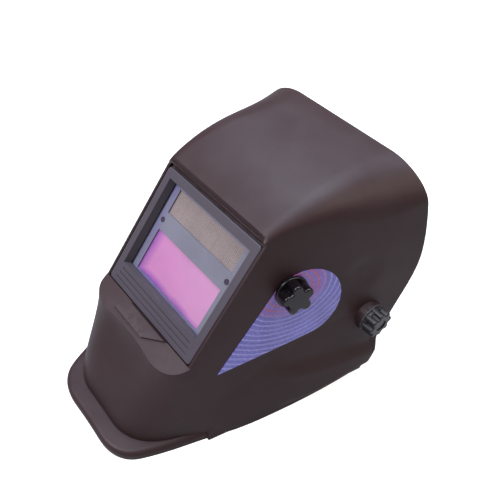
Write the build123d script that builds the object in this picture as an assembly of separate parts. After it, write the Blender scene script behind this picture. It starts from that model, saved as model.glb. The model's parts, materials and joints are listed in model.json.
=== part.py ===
from build123d import *
import math
import os

os.makedirs("parts", exist_ok=True)

# Auto-darkening welding helmet with an adjustable headgear, resting on its chin lip and lower rim.
# Millimetres. +X is the wearer's left, -Y is the viewing face, +Z is up, and Z = 0 is the table.

# ------------------------------------------------------------------ shell
FACE_LEAN = 40.6            # degrees that the viewing face leans back from upright
FACE_Y = -32.0              # the face frame starts here, on the bezel's front plane
FACE_Z = 145.0
WALL = 2.8                  # moulded wall
FACE_HALF_WIDTH = 66.8      # half width of the shell at its face
SIDE_SPREAD = 0.337         # how fast the sides spread with depth
SIDE_ROUND = 0.00031        # how that spread eases off
BROW_RADIUS = 9.0           # corner between side and top at the brow
REAR_RADIUS = 40.0          # the same corner at the rear
RADIUS_GROWTH = 0.42
# top of the shell seen from the side: depth behind the face, height above the cartridge centre
CROWN_LINE = ((-3, 62), (8.5, 82), (25, 102.5), (47, 123), (75, 145), (104, 165), (150, 192), (200, 214))
# rear rim seen from the side, from the table up: Y, Z
REAR_RIM = (
    (88, 0), (93, 16), (103, 31), (113, 47), (126, 68),
    (140, 89), (151, 112), (155, 137), (155, 166), (152, 208),
)

# chin and throat, in level sections: height, front Y, how far the flat front and the side points
# stand outside the face's half width, and the side points' Y
CHIN_SECTIONS = (
    (0, -138, -38.8, (
        (-10.8, -124), (5.7, -95), (21.7, -62), (33.2, -24),
        (41.2, 15), (48.2, 61), (51.2, 96),
    )),
    (15, -135, -38.8, (
        (-11.8, -122), (5.2, -95), (20.2, -62), (31.2, -24),
        (39.2, 15), (46.7, 61), (50.7, 96),
    )),
    (48, -115.5, -28.8, (
        (-5.8, -103), (6.7, -83), (14.5, -56), (24.2, -20),
        (33, 15), (41.2, 55), (48.7, 96),
    )),
    (98, -93, -18.8, (
        (-5.8, -86), (0.2, -72.5), (2.4, -58), (9.7, -20),
        (16.7, 10), (25.7, 50), (35.2, 96),
    )),
)
SIDE_INSET_SHARE = 0.6        # how far back a side point moves as it moves in by one
LEDGE_INNER = (-73.5, 95.4)   # ledge under the bezel, inner edge: Y, Z
LEDGE_OUTER = (-92.0, 90.6)
PAD_RISE = 2.2                # raised pad in the middle of the ledge
PAD_OUTER = (-31.0, 13.0)     # its ends along X at the ledge's outer edge
PAD_INNER = (-21.0, 34.0)     # and at the inner edge
PAD_DEPTH = 2.0               # how far the pad reaches into the ledge

LIP_FRONT = -153.0
LIP_FLAT = -33.8
LIP_SIDE = ((-17.8, -147.5), (-8.8, -140), (-2.3, -128.5), (7.7, -103), (16.7, -76), (22.7, -58), (25.2, -44))
LIP_HEIGHT = 10.0
LIP_ROUND = 5.5
# front of the body under the ledge, seen from the side: depth behind the face, height above its centre
THROAT_LINE = ((-30, -66), (12, -66), (30, -100), (60, -135), (76, -175))

# ------------------------------------------------------------------ window
BEZEL_HALF_WIDTH = 63.7
BEZEL_TOP = 53.9              # above the cartridge centre
BEZEL_BOTTOM = -65.0
BEZEL_THICK = 3.2
BEZEL_GAP = 0.6               # between bezel and shell all round
BROW_GROOVE = 3.6             # groove over the bezel
FLOOR_GAP = 0.3
LENS_WIDTH = 116.0
LENS_HEIGHT = 96.0
LENS_THICK = 1.0
GASKET_THICK = 0.8
SEAT_CLEARANCE = 0.3
SEAT_WALL = 2.0
OPENING_HALF_WIDTH = 56.0
OPENING_TOP = 45.4
OPENING_BOTTOM = -44.6
OPENING_TAPER = 3.0
SILL_GROOVES = 3              # steps in the bar under the window
SILL_FIRST = 4.5
SILL_PITCH = 5.0
SILL_GROOVE = 1.2
SILL_GROOVE_DEPTH = 0.7

CARTRIDGE_WIDTH = 110.0
CARTRIDGE_HEIGHT = 90.0
CARTRIDGE_THICK = 12.0
CARTRIDGE_WALL = 1.5
CARTRIDGE_CLEARANCE = 0.2
VIEW_WIDTH = 92.0
VIEW_TOP = 0.0
VIEW_BOTTOM = -42.0
FILTER_THICK = 3.4
SOLAR_TOP = 40.9
SOLAR_BOTTOM = 17.3
SOLAR_THICK = 1.6
SENSOR_X = 47.0
SENSOR_UP = 9.0
SENSOR_RADIUS = 2.6
BOARD_THICK = 1.2
CELL_RADIUS = 10.0
CELL_THICK = 3.2
DIAL_RADIUS = 6.5
DIAL_STEM_RADIUS = 2.5
SWITCH_TRAVEL = 4.0
SWITCH_STEM = (3.6, 2.8)      # along its travel, across it
BAIL_WIRE = 2.0
EAR_THICK = 2.4               # ears that the bail hangs in
EAR_HEIGHT = 8.0

# ------------------------------------------------------------------ side controls
KNOB_Y = 20.0
KNOB_Z = 138.0
LABEL_THICK = 0.4
LABEL_TIP = (-54.0, 77.0)
LABEL_CENTRE = (31.5, 117.5)
LABEL_RADIUS = 35.0
SHAFT_RADIUS = 3.0
BUSH_WALL = 0.5
POT_NUT_WALL = 2.7
POT_RADIUS = 8.5
POT_DEPTH = 8.0
KNOB_RADIUS = 15.0
KNOB_HEIGHT = 15.5
KNOB_LOBES = 5
LEAD_RADIUS = 1.5
GROMMET_WALL = 0.9

# ------------------------------------------------------------------ headgear pivot
PIVOT_Y = 95.0
PIVOT_Z = 72.0
BOSS_RADIUS = 15.0
BOSS_STAND = 3.5              # how far the boss stands out of the shell's side
BOSS_LENGTH = 9.4
STUD_RADIUS = 4.0
STUD_HEAD_RADIUS = 8.0
STUD_HEAD_THICK = 3.0
WASHER_THICK = 1.2
RUNNING_FIT = 0.05
FACE_CLEARANCE = 0.2
TENSION_KNOB_RADIUS = 14.0
TENSION_KNOB_HEIGHT = 12.0
TENSION_KNOB_LOBES = 8
INSERT_WALL = 2.0
INSERT_LENGTH = 8.0
ARM_THICK = 2.5
ARM_HEIGHT = 20.0

# ------------------------------------------------------------------ headgear
RING_BACK = 20.0              # ring centre behind the pivot
BAND_RADIUS = 82.0            # rear half of the head ring
BAND_FRONT = 98.0             # brow, ahead of the ring centre
BAND_THICK = 1.8
TAIL_THICK = 1.6
BAND_HEIGHT = 24.0
LAP_GAP = 0.5
SLIDE_GAP = 0.4
TAIL_TIP_ANGLE = -16.0
TAIL_SHOULDER_ANGLE = 43.0
TAIL_END_ANGLE = 71.0
BAND_END_ANGLE = 50.0
KEEPER_ANGLE = 57.0
HOUSING_ANGLE = 30.0
HOUSING_HEIGHT = 38.0
HOUSING_WALL = 3.0
PINION_TEETH = 10
PINION_PITCH_RADIUS = 5.0
RATCHET_KNOB_RADIUS = 22.0
RATCHET_KNOB_HEIGHT = 17.0
RATCHET_SHAFT_RADIUS = 4.0
RATCHET_SHAFT_REACH = 12.0    # how far the shaft stands out of the housing
TRUNNION_RADIUS = 2.5
COVER_THICK = 2.2
RIVET_RADIUS = 1.6
SNAP_PIN_RADIUS = 2.0
SNAP_PITCH = 8.0
STRAP_WIDTH = 20.0
STRAP_THICK = 1.8
STRAP_RISE = 105.0
PAD_THICK = 7.0
SWEATBAND_HEIGHT = 36.0
SWEATBAND_END = 55.0          # ahead of the ring centre

LARGE = 600.0

lean = math.radians(FACE_LEAN)
face = Plane(origin=(0, FACE_Y, FACE_Z), x_dir=(1, 0, 0), z_dir=(0, -math.cos(lean), math.sin(lean)))
RING_Y = PIVOT_Y + RING_BACK


def save(name, shape):
    """Write one node, with the origin on the table under the middle of the whole helmet."""
    export_step(Pos(0, -origin_y, 0) * shape, f"parts/{name}.step")


def on_face(shape):
    """Move a shape from the face frame (X, up the face, out of the face) to the helmet's frame."""
    return face.location * shape


def mirrored(shape):
    return mirror(shape, about=Plane.YZ)


def slab(width, low, high, near, far):
    """Box in the face frame: between two heights and two depths behind the face."""
    centre = Pos(0, (low + high) / 2, -(near + far) / 2)
    return centre * Box(width, high - low, far - near)


def frame_ring(outer_size, inner_size, near, far):
    """Rectangular ring in the face frame; each size is a width and a height."""
    outer = slab(outer_size[0], -outer_size[1] / 2, outer_size[1] / 2, near, far)
    inner = slab(inner_size[0], -inner_size[1] / 2, inner_size[1] / 2, near - 1, far + 1)
    return outer - inner


def side_half_width(depth):
    return FACE_HALF_WIDTH + SIDE_SPREAD * depth - SIDE_ROUND * depth ** 2


def side_slope(depth):
    return SIDE_SPREAD - 2 * SIDE_ROUND * depth


def depth_of(y, z):
    """Depth behind the face of a point given in the helmet's frame."""
    return (y - FACE_Y) * math.cos(lean) - (z - FACE_Z) * math.sin(lean)


def corner_radius(depth):
    return min(BROW_RADIUS + RADIUS_GROWTH * max(depth, 0), REAR_RADIUS)


# ------------------------------------------------------------------ shell
def arch_section(depth, half_width, top, radius):
    """Closed section parallel to the face, with a flat top and round upper corners."""
    low = -LARGE / 2
    side = top - radius
    flat = half_width - radius
    edges = [
        Line((half_width, low), (half_width, side)),
        CenterArc((flat, side), radius, 0, 90),
        Line((flat, top), (-flat, top)),
        CenterArc((-flat, side), radius, 90, 90),
        Line((-half_width, side), (-half_width, low)),
        Line((-half_width, low), (half_width, low)),
    ]
    return Pos(0, 0, -depth) * Wire(edges)


def body_solid(inset):
    """Sides, brow and top of the shell, moved inwards by inset."""
    sections = []
    for index, (depth, top) in enumerate(CROWN_LINE):
        before = CROWN_LINE[max(index - 1, 0)]
        after = CROWN_LINE[min(index + 1, len(CROWN_LINE) - 1)]
        slope = (after[1] - before[1]) / (after[0] - before[0])
        length = math.hypot(1, slope)
        inner_depth = depth + inset * slope / length
        inner_top = top - inset / length
        half_width = side_half_width(inner_depth) - inset * math.hypot(1, SIDE_SPREAD)
        radius = max(corner_radius(depth) - inset, 2)
        sections.append(arch_section(inner_depth, half_width, inner_top, radius))
    return Solid.make_loft(sections)


def symmetric_outline(front, flat, side_points, inset, height):
    """Closed level outline: one smooth curve round the front, and a straight line behind."""
    sides = [(FACE_HALF_WIDTH + x - inset, y + inset * SIDE_INSET_SHARE) for x, y in side_points]
    corner = FACE_HALF_WIDTH + flat
    half = [(corner / 2, front + inset), (corner, front + inset + 0.3)] + sides
    points = [(-x, y) for x, y in reversed(half)] + half
    return Pos(0, 0, height) * Wire([Spline(*points), Line(points[-1], points[0])])


def chin_solid(inset):
    """Chin and throat of the shell, moved inwards by inset."""
    sections = []
    for height, front, flat, side_points in CHIN_SECTIONS:
        sections.append(symmetric_outline(front, flat, side_points, inset, height))
    return Solid.make_loft(sections)


def lip_solid(inset):
    """Lip round the chin, with a rolled upper edge."""
    lip = extrude(make_face(symmetric_outline(LIP_FRONT, LIP_FLAT, LIP_SIDE, inset, 0)), LIP_HEIGHT - inset)
    rolled = lip.edges().group_by(Axis.Z)[-1].filter_by(GeomType.BSPLINE)
    return fillet(rolled, LIP_ROUND - inset * 0.8)


def side_prism(points):
    """Prism across the helmet whose outline is seen from the side: points are Y, Z."""
    outline = make_face(Polyline(*[(0, y, z) for y, z in points], close=True))
    return extrude(outline, LARGE / 2, both=True, dir=(1, 0, 0))


def rim_cutter():
    """Everything behind the rear rim."""
    rim = Spline(*[(0, y, z) for y, z in REAR_RIM])
    low = (0, REAR_RIM[0][0], REAR_RIM[0][1])
    high = (0, REAR_RIM[-1][0], REAR_RIM[-1][1])
    far = ((0, high[1], LARGE), (0, LARGE, LARGE), (0, LARGE, -LARGE), (0, low[1], -LARGE))
    back = Polyline(high, *far, low)
    return extrude(make_face(Wire([rim] + list(back.edges()))), LARGE / 2, both=True, dir=(1, 0, 0))


def below_ledge_cut(shift):
    """The body is cut away here, in front of the chin, down from the ledge."""
    points = THROAT_LINE + ((THROAT_LINE[-1][0], -LARGE), (THROAT_LINE[0][0], -LARGE))
    corners = [(0, up + shift / 2, -(depth + shift)) for depth, up in points]
    outline = make_face(Polyline(*corners, close=True))
    return on_face(extrude(outline, LARGE / 2, both=True, dir=(1, 0, 0)))


def above_ledge_cut(drop):
    """Everything over the ledge's slope, in front of the face."""
    slope = (LEDGE_INNER[1] - LEDGE_OUTER[1]) / (LEDGE_INNER[0] - LEDGE_OUTER[0])
    outer = (LEDGE_OUTER[0] - 60, LEDGE_OUTER[1] - 60 * slope - drop)
    inner = (LEDGE_INNER[0], LEDGE_INNER[1] - drop)
    top = (FACE_Y, FACE_Z + 60 - drop)
    behind = (inner[0] + 40, inner[1] + 40 * math.cos(lean) / math.sin(lean))
    return side_prism((outer, inner, behind, top, (-LARGE, top[1]), (-LARGE, outer[1])))


def ledge_pad():
    """Raised pad in the middle of the ledge, with square side walls."""
    run = LEDGE_INNER[0] - LEDGE_OUTER[0]
    fall = math.degrees(math.atan2(LEDGE_INNER[1] - LEDGE_OUTER[1], run))
    plane = Plane(origin=(0, LEDGE_OUTER[0], LEDGE_OUTER[1]), x_dir=(1, 0, 0), z_dir=(0, 0, 1))
    length = math.hypot(run, LEDGE_INNER[1] - LEDGE_OUTER[1]) - 1
    edge = 4
    corners = ((PAD_OUTER[0], edge), (PAD_OUTER[1], edge), (PAD_INNER[1], length), (PAD_INNER[0], length))
    pad = extrude(make_face(Polyline(*corners, close=True)), PAD_RISE + PAD_DEPTH)
    return plane.location * (Rot(fall, 0, 0) * (Pos(0, 0, -PAD_DEPTH) * pad))


throat_wall_share = 1.3       # the slanted throat wall, measured along the depth
floor_near = BEZEL_THICK + FLOOR_GAP
floor_far = floor_near + WALL
seat_width = LENS_WIDTH + 2 * SEAT_CLEARANCE
seat_height = LENS_HEIGHT + 2 * SEAT_CLEARANCE
lens_near = floor_far + FACE_CLEARANCE
gasket_near = lens_near + LENS_THICK
cartridge_near = gasket_near + GASKET_THICK
cartridge_far = cartridge_near + CARTRIDGE_THICK
collar_clearance = 0.4
collar_width = 2 * OPENING_HALF_WIDTH + 2.4
collar_top = OPENING_TOP + 1.0
collar_bottom = OPENING_BOTTOM - 1.4
bail_depth = cartridge_far + FACE_CLEARANCE + 1.2 + BAIL_WIRE / 2
bail_up = seat_height / 2 + SEAT_WALL + 2.5
ear_x = seat_width / 2 + EAR_THICK / 2

# place and outward direction of the shade control on the wearer's left side
knob_depth = depth_of(KNOB_Y, KNOB_Z)
knob_slope = side_slope(knob_depth)
knob_normal = Vector(1, -knob_slope * math.cos(lean), knob_slope * math.sin(lean)).normalized()
knob_point = Vector(side_half_width(knob_depth), KNOB_Y, KNOB_Z)
knob_plane = Plane(origin=knob_point, x_dir=Vector(0, 1, 0) - knob_normal * knob_normal.Y, z_dir=knob_normal)
bush_radius = SHAFT_RADIUS + BUSH_WALL

# the headgear's pivot boss, by its distances from the middle of the helmet
boss_outer = side_half_width(depth_of(PIVOT_Y, PIVOT_Z)) + BOSS_STAND
boss_inner = boss_outer - BOSS_LENGTH


def pivot_disc(radius, inner, outer):
    """Disc on the headgear pivot, on the wearer's left, between two distances from the middle."""
    return Pos((inner + outer) / 2, PIVOT_Y, PIVOT_Z) * Rot(0, 90, 0) * Cylinder(radius, outer - inner)


def helmet_shell():
    outer = on_face(body_solid(0))
    outer = outer - on_face(slab(LARGE, -LARGE, BEZEL_TOP + BROW_GROOVE, -LARGE / 4, 0))
    outer = outer - below_ledge_cut(0)
    chin = chin_solid(0) - above_ledge_cut(0)
    outer = outer + chin + ledge_pad() + lip_solid(0)

    cavity = on_face(body_solid(WALL))
    front_wall = on_face(slab(LARGE, -LARGE, BEZEL_TOP + BROW_GROOVE + WALL, -LARGE / 4, floor_far))
    cavity = cavity - front_wall - below_ledge_cut(WALL * throat_wall_share)
    chin_cavity = chin_solid(WALL) - above_ledge_cut(WALL)
    chin_cavity = chin_cavity - on_face(slab(LARGE, THROAT_LINE[0][1] - WALL, LARGE, -LARGE / 4, floor_far))
    below_table = 0.01
    cavity = cavity + chin_cavity + Pos(0, 0, -below_table) * lip_solid(WALL)

    shell = outer - cavity
    recess_low = BEZEL_BOTTOM - BEZEL_GAP
    recess_high = BEZEL_TOP + BROW_GROOVE
    recess_width = 2 * (BEZEL_HALF_WIDTH + BEZEL_GAP)
    shell = shell - on_face(slab(recess_width, recess_low, recess_high, -20, floor_near))
    panel_hole = slab(
        collar_width + 2 * collar_clearance,
        collar_bottom - collar_clearance,
        collar_top + collar_clearance,
        0,
        floor_far + 1,
    )
    shell = shell - on_face(panel_hole)
    seat_outer = (seat_width + 2 * SEAT_WALL, seat_height + 2 * SEAT_WALL)
    seat = frame_ring(seat_outer, (seat_width, seat_height), floor_far - 1, cartridge_far - 0.4)
    shell = shell + on_face(seat)
    for side in (1, -1):
        ear_place = Pos(side * (ear_x + EAR_THICK / 2), bail_up, -(bail_depth + floor_far) / 2 - 1)
        ear = ear_place * Box(EAR_THICK, EAR_HEIGHT, bail_depth - floor_far + 5)
        hole_place = Pos(side * ear_x, bail_up, -bail_depth) * Rot(0, 90, 0)
        hole = hole_place * Cylinder(BAIL_WIRE / 2 + RUNNING_FIT, 12)
        shell = shell + on_face(ear) - on_face(hole)
        boss = pivot_disc(BOSS_RADIUS, boss_inner, boss_outer)
        bore = pivot_disc(STUD_RADIUS + RUNNING_FIT, boss_inner - 40, boss_outer + 40)
        inner_face = pivot_disc(BOSS_RADIUS, boss_inner - 20, boss_inner)
        outer_face = pivot_disc(BOSS_RADIUS, boss_outer, boss_outer + 20)
        if side < 0:
            boss, bore, inner_face, outer_face = [mirrored(s) for s in (boss, bore, inner_face, outer_face)]
        shell = shell + boss - bore - inner_face - outer_face
    bush_hole = knob_plane.location * Cylinder(bush_radius + RUNNING_FIT, 30)
    shell = shell - bush_hole
    shell = shell - rim_cutter()
    return shell - Pos(0, 0, -LARGE / 2) * Box(2 * LARGE, 2 * LARGE, LARGE)


# ------------------------------------------------------------------ window and filter cartridge
def front_bezel():
    centre_up = (BEZEL_TOP + BEZEL_BOTTOM) / 2
    rim = slab(2 * BEZEL_HALF_WIDTH, BEZEL_BOTTOM, BEZEL_TOP, 0, BEZEL_THICK)
    rim = fillet(rim.edges().filter_by(Axis.Z), 3)
    rim = fillet(rim.edges().group_by(Axis.Z)[-1], 1)
    collar = slab(collar_width, collar_bottom, collar_top, 0.5, floor_far)
    near = Pos(0, (OPENING_TOP + OPENING_BOTTOM) / 2, 0.2)
    near = near * Rectangle(2 * OPENING_HALF_WIDTH, OPENING_TOP - OPENING_BOTTOM)
    far = Pos(0, (OPENING_TOP + OPENING_BOTTOM) / 2, -floor_far - 0.2)
    far = far * Rectangle(
        2 * (OPENING_HALF_WIDTH - OPENING_TAPER), OPENING_TOP - OPENING_BOTTOM - OPENING_TAPER
    )
    bezel = rim + collar - loft([near, far])
    for index in range(SILL_GROOVES):
        up = OPENING_BOTTOM - SILL_FIRST - index * SILL_PITCH
        length = 2 * OPENING_HALF_WIDTH - 6 + index * 3
        bezel = bezel - Pos(0, up, 0) * Box(length, SILL_GROOVE, 2 * SILL_GROOVE_DEPTH)
    return on_face(bezel)


def lens_plate(width, low, high, near, thick):
    plate = slab(width, low, high, near, near + thick)
    return on_face(fillet(plate.edges().filter_by(Axis.Z), 3))


view_margin = 2.0
case_face = cartridge_near + CARTRIDGE_WALL
case_split = cartridge_near + CARTRIDGE_THICK / 2
board_near = case_face + FILTER_THICK + CARTRIDGE_CLEARANCE
dial_x = -38.0
cell_x = (-12.5, 10.5)
switch_x = 36.0
control_up = (SOLAR_TOP + SOLAR_BOTTOM) / 2 - 4
lead_exit = (46.0, 36.0)


def case_half(near, far, open_near, open_far):
    """One half of the cartridge case, hollow towards its joint."""
    half = slab(CARTRIDGE_WIDTH, -CARTRIDGE_HEIGHT / 2, CARTRIDGE_HEIGHT / 2, near, far)
    half = fillet(half.edges().filter_by(Axis.Z), 3)
    inner_width = CARTRIDGE_WIDTH - 2 * CARTRIDGE_WALL
    inner_half_height = CARTRIDGE_HEIGHT / 2 - CARTRIDGE_WALL
    return half - slab(inner_width, -inner_half_height, inner_half_height, open_near, open_far)


def window_hole(extra=0.0):
    return slab(VIEW_WIDTH + extra, VIEW_BOTTOM - extra / 2, VIEW_TOP + extra / 2, 0, LARGE / 10)


def cartridge_front_housing():
    half = case_half(cartridge_near, case_split, case_face, case_split + 1) - window_hole()
    half = half - slab(VIEW_WIDTH, SOLAR_BOTTOM, SOLAR_TOP, 0, case_face + 0.5)
    for side in (1, -1):
        half = half - Pos(side * SENSOR_X, SENSOR_UP, -case_face) * Cylinder(SENSOR_RADIUS + 0.1, 8)
    return on_face(half)


def cartridge_rear_housing():
    half = case_half(case_split, cartridge_far, case_split - 1, cartridge_far - CARTRIDGE_WALL)
    half = half - window_hole()
    half = half - Pos(dial_x, control_up, -cartridge_far) * Cylinder(DIAL_STEM_RADIUS + RUNNING_FIT, 8)
    slot_width = 2 * SWITCH_TRAVEL + SWITCH_STEM[0] + 0.8
    slot = Pos(switch_x, control_up, -cartridge_far) * Box(slot_width, SWITCH_STEM[1] + 0.6, 8)
    exit_hole = Pos(lead_exit[0], lead_exit[1], -cartridge_far) * Cylinder(LEAD_RADIUS + GROMMET_WALL, 8)
    return on_face(half - slot - exit_hole)


def viewing_filter():
    low = VIEW_BOTTOM - view_margin + 0.8
    high = VIEW_TOP + view_margin
    return on_face(slab(VIEW_WIDTH + 2 * view_margin, low, high, case_face, case_face + FILTER_THICK))


def solar_panel():
    low = SOLAR_BOTTOM - view_margin
    high = SOLAR_TOP + view_margin
    return on_face(slab(VIEW_WIDTH + 2 * view_margin, low, high, case_face, case_face + SOLAR_THICK))


def light_sensors():
    near = cartridge_near + 0.3
    far = case_face + 2
    eye = Cylinder(SENSOR_RADIUS, far - near)
    eyes = [Pos(side * SENSOR_X, SENSOR_UP, -(near + far) / 2) * eye for side in (1, -1)]
    return on_face(Compound(children=eyes))


def circuit_board():
    high = CARTRIDGE_HEIGHT / 2 - CARTRIDGE_WALL - CARTRIDGE_CLEARANCE
    width = CARTRIDGE_WIDTH - 2 * CARTRIDGE_WALL - 2 * CARTRIDGE_CLEARANCE
    return on_face(slab(width, VIEW_TOP + view_margin + 1, high, board_near, board_near + BOARD_THICK))


def battery_cells():
    depth = board_near + BOARD_THICK + CELL_THICK / 2
    cells = [Pos(x, control_up, -depth) * Cylinder(CELL_RADIUS, CELL_THICK) for x in cell_x]
    return on_face(Compound(children=cells))


def filter_holder():
    """Frame between the cartridge and the seat moulded in the shell."""
    inner_size = (CARTRIDGE_WIDTH + 2 * CARTRIDGE_CLEARANCE, CARTRIDGE_HEIGHT + 2 * CARTRIDGE_CLEARANCE)
    return on_face(frame_ring((LENS_WIDTH, LENS_HEIGHT), inner_size, cartridge_near, cartridge_far))


def lens_gasket():
    inner_size = (2 * OPENING_HALF_WIDTH - 4, LENS_HEIGHT - 7)
    return on_face(frame_ring((LENS_WIDTH, LENS_HEIGHT), inner_size, gasket_near, cartridge_near))


def cartridge_bail():
    """Spring wire that keeps the cartridge in its seat."""
    radius = BAIL_WIRE / 2
    leg_x = CARTRIDGE_WIDTH / 2 + 2.4
    low = -CARTRIDGE_HEIGHT / 2 + 4
    tip = ear_x + 2
    half = [(tip, bail_up), (leg_x, bail_up), (leg_x, low)]
    path = FilletPolyline(*half, *[(-x, up) for x, up in reversed(half)], radius=2.2)
    section = Plane(origin=path @ 0, z_dir=path % 0) * Circle(radius)
    return on_face(Pos(0, 0, -bail_depth) * sweep(section, path=path))


def sensitivity_dial():
    stem_length = 5.0
    cap_thick = 2.8
    stem = Pos(0, 0, stem_length / 2) * Cylinder(DIAL_STEM_RADIUS, stem_length)
    cap = Pos(0, 0, -cap_thick / 2) * Cylinder(DIAL_RADIUS, cap_thick)
    grips = 16
    for index in range(grips):
        angle = 360 / grips * index
        cap = cap - Rot(0, 0, angle) * Pos(DIAL_RADIUS + 0.2, 0, -cap_thick / 2) * Cylinder(0.7, 4)
    pointer = Pos(0, DIAL_RADIUS / 2, -cap_thick) * Box(0.9, DIAL_RADIUS - 2, 0.8)
    dial = stem + cap - pointer
    return on_face(Pos(dial_x, control_up, -cartridge_far - FACE_CLEARANCE) * dial)


def delay_switch():
    stem = Pos(0, 0, 1.6) * Box(*SWITCH_STEM, 3.2)
    cap = Pos(0, 0, -0.9) * Box(6, 5, 1.8)
    ridges = [Pos(offset, 0, -1.9) * Box(0.7, 4.2, 0.6) for offset in (-1.6, 0, 1.6)]
    for ridge in ridges:
        cap = cap + ridge
    return on_face(Pos(switch_x, control_up, -cartridge_far - FACE_CLEARANCE) * (stem + cap))


# ------------------------------------------------------------------ side label and shade control
def label_outline():
    """Teardrop in the side view: a point at the front and a round end behind."""
    tip = Vector(*LABEL_TIP)
    centre = Vector(*LABEL_CENTRE)
    axis = centre - tip
    reach = axis.length
    turn = math.degrees(math.atan2(axis.Y, axis.X))
    contact = math.acos(LABEL_RADIUS / reach)
    touch = math.degrees(math.pi - contact) + turn
    sweep_angle = -2 * (touch - turn)
    arc = CenterArc((centre.X, centre.Y), LABEL_RADIUS, touch, sweep_angle)
    upper = Line((tip.X, tip.Y), arc @ 0)
    lower = Line(arc @ 1, (tip.X, tip.Y))
    return make_face(Wire([upper, arc, lower]))


def side_label():
    side_view = Plane(origin=(0, 0, 0), x_dir=(0, 1, 0), z_dir=(1, 0, 0))
    prism = extrude(side_view.location * label_outline(), LARGE / 4, dir=(1, 0, 0))
    skin = on_face(body_solid(-LABEL_THICK)) - on_face(body_solid(0))
    label = (skin & prism) - knob_plane.location * Cylinder(bush_radius + 0.6, 30)
    return label


def at_knob(shape):
    return knob_plane.location * shape


def upright(radius, low, high):
    return Pos(0, 0, (low + high) / 2) * Cylinder(radius, high - low)


pot_top = -WALL * 1.06 - 0.1
bush_top = 4.6
nut_low = LABEL_THICK * 1.06 + 0.05
knob_low = 1.2
knob_hollow = bush_radius + POT_NUT_WALL + 2.0


def shade_potentiometer():
    body = upright(POT_RADIUS, pot_top - POT_DEPTH, pot_top)
    bush = upright(bush_radius, pot_top - 1, bush_top)
    bore = upright(SHAFT_RADIUS + RUNNING_FIT, pot_top - POT_DEPTH + 2, bush_top + 1)
    return at_knob(body + bush - bore)


def potentiometer_nut():
    nut = Pos(0, 0, nut_low) * extrude(RegularPolygon(bush_radius + POT_NUT_WALL, 6), 2.2)
    return at_knob(nut - upright(bush_radius, 0, 8))


def potentiometer_shaft():
    return at_knob(upright(SHAFT_RADIUS, pot_top - POT_DEPTH + 2.4, KNOB_HEIGHT - 4))


def lobed_knob(lobes, radius, lobe_radius, low, high, rounding):
    """Grip with round lobes standing on a core."""
    reach = radius - lobe_radius
    profile = Circle(reach)
    for index in range(lobes):
        angle = math.radians(360 / lobes * index + 90)
        profile = profile + Pos(reach * math.cos(angle), reach * math.sin(angle)) * Circle(lobe_radius)
    profile = fillet(profile.vertices(), lobe_radius * 0.3)
    grip = Pos(0, 0, low) * extrude(profile, high - low)
    return fillet(grip.edges().group_by(Axis.Z)[-1], rounding)


def shade_knob():
    skirt = upright(KNOB_RADIUS, knob_low, knob_low + 3)
    skirt = fillet(skirt.edges().group_by(Axis.Z)[-1], 1)
    grip = lobed_knob(KNOB_LOBES, KNOB_RADIUS - 0.8, 4.6, knob_low + 2, KNOB_HEIGHT, 1.6)
    hollow = upright(knob_hollow, 0, bush_top + 0.5)
    bore = upright(SHAFT_RADIUS, 0, KNOB_HEIGHT - 4)
    return at_knob(skirt + grip - hollow - bore)


def lead_points():
    """Route of the shade control lead in the face frame, from the potentiometer to the cartridge."""
    start = face.to_local_coords(knob_point + knob_normal * (pot_top - POT_DEPTH))
    inward = face.to_local_coords(knob_point + knob_normal * (pot_top - POT_DEPTH - 12))
    return (
        (start.X, start.Y, start.Z),
        (inward.X, inward.Y, inward.Z),
        (lead_exit[0] + 4, lead_exit[1] + 3, -cartridge_far - 14),
        (lead_exit[0], lead_exit[1], -cartridge_far + CARTRIDGE_WALL),
    )


def shade_control_lead():
    points = [Vector(*point) for point in lead_points()]
    radii = []
    for before, corner, after in zip(points, points[1:], points[2:]):
        turn = (corner - before).get_angle(after - corner)
        run = min((corner - before).length, (after - corner).length)
        radii.append(0.45 * run / math.tan(math.radians(turn / 2)))
    path = FilletPolyline(*points, radius=radii)
    section = Plane(origin=path @ 0, z_dir=path % 0) * Circle(LEAD_RADIUS)
    return on_face(sweep(section, path=path))


def lead_grommet():
    """Rubber sleeve where the lead enters the cartridge."""
    collar_thick = 1.2
    collar = Cylinder(LEAD_RADIUS + 2 * GROMMET_WALL, collar_thick)
    sleeve = Cylinder(LEAD_RADIUS + GROMMET_WALL, CARTRIDGE_WALL)
    sleeve = sleeve + Pos(0, 0, -(CARTRIDGE_WALL + collar_thick) / 2) * collar
    grommet = Pos(lead_exit[0], lead_exit[1], -cartridge_far + CARTRIDGE_WALL / 2) * sleeve
    return on_face(grommet) - shade_control_lead()


# ------------------------------------------------------------------ headgear pivots
arm_outer = boss_inner - WASHER_THICK - FACE_CLEARANCE
stud_low = arm_outer - ARM_THICK - FACE_CLEARANCE
tension_low = boss_outer + WASHER_THICK + FACE_CLEARANCE
insert_high = tension_low + INSERT_LENGTH
insert_radius = STUD_RADIUS + INSERT_WALL


def both_sides(shape):
    return Compound(children=[shape, mirrored(shape)])


def pivot_studs():
    head = pivot_disc(STUD_HEAD_RADIUS, stud_low - STUD_HEAD_THICK, stud_low)
    shank = pivot_disc(STUD_RADIUS, stud_low - 1, insert_high - 1)
    return both_sides(head + shank)


def washer(radius, inner, outer):
    return pivot_disc(radius, inner, outer) - pivot_disc(STUD_RADIUS, inner - 1, outer + 1)


def outer_washers():
    return both_sides(washer(BOSS_RADIUS - 0.6, boss_outer, boss_outer + WASHER_THICK))


def inner_washers():
    return both_sides(washer(BOSS_RADIUS - 3, boss_inner - WASHER_THICK, boss_inner))


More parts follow.
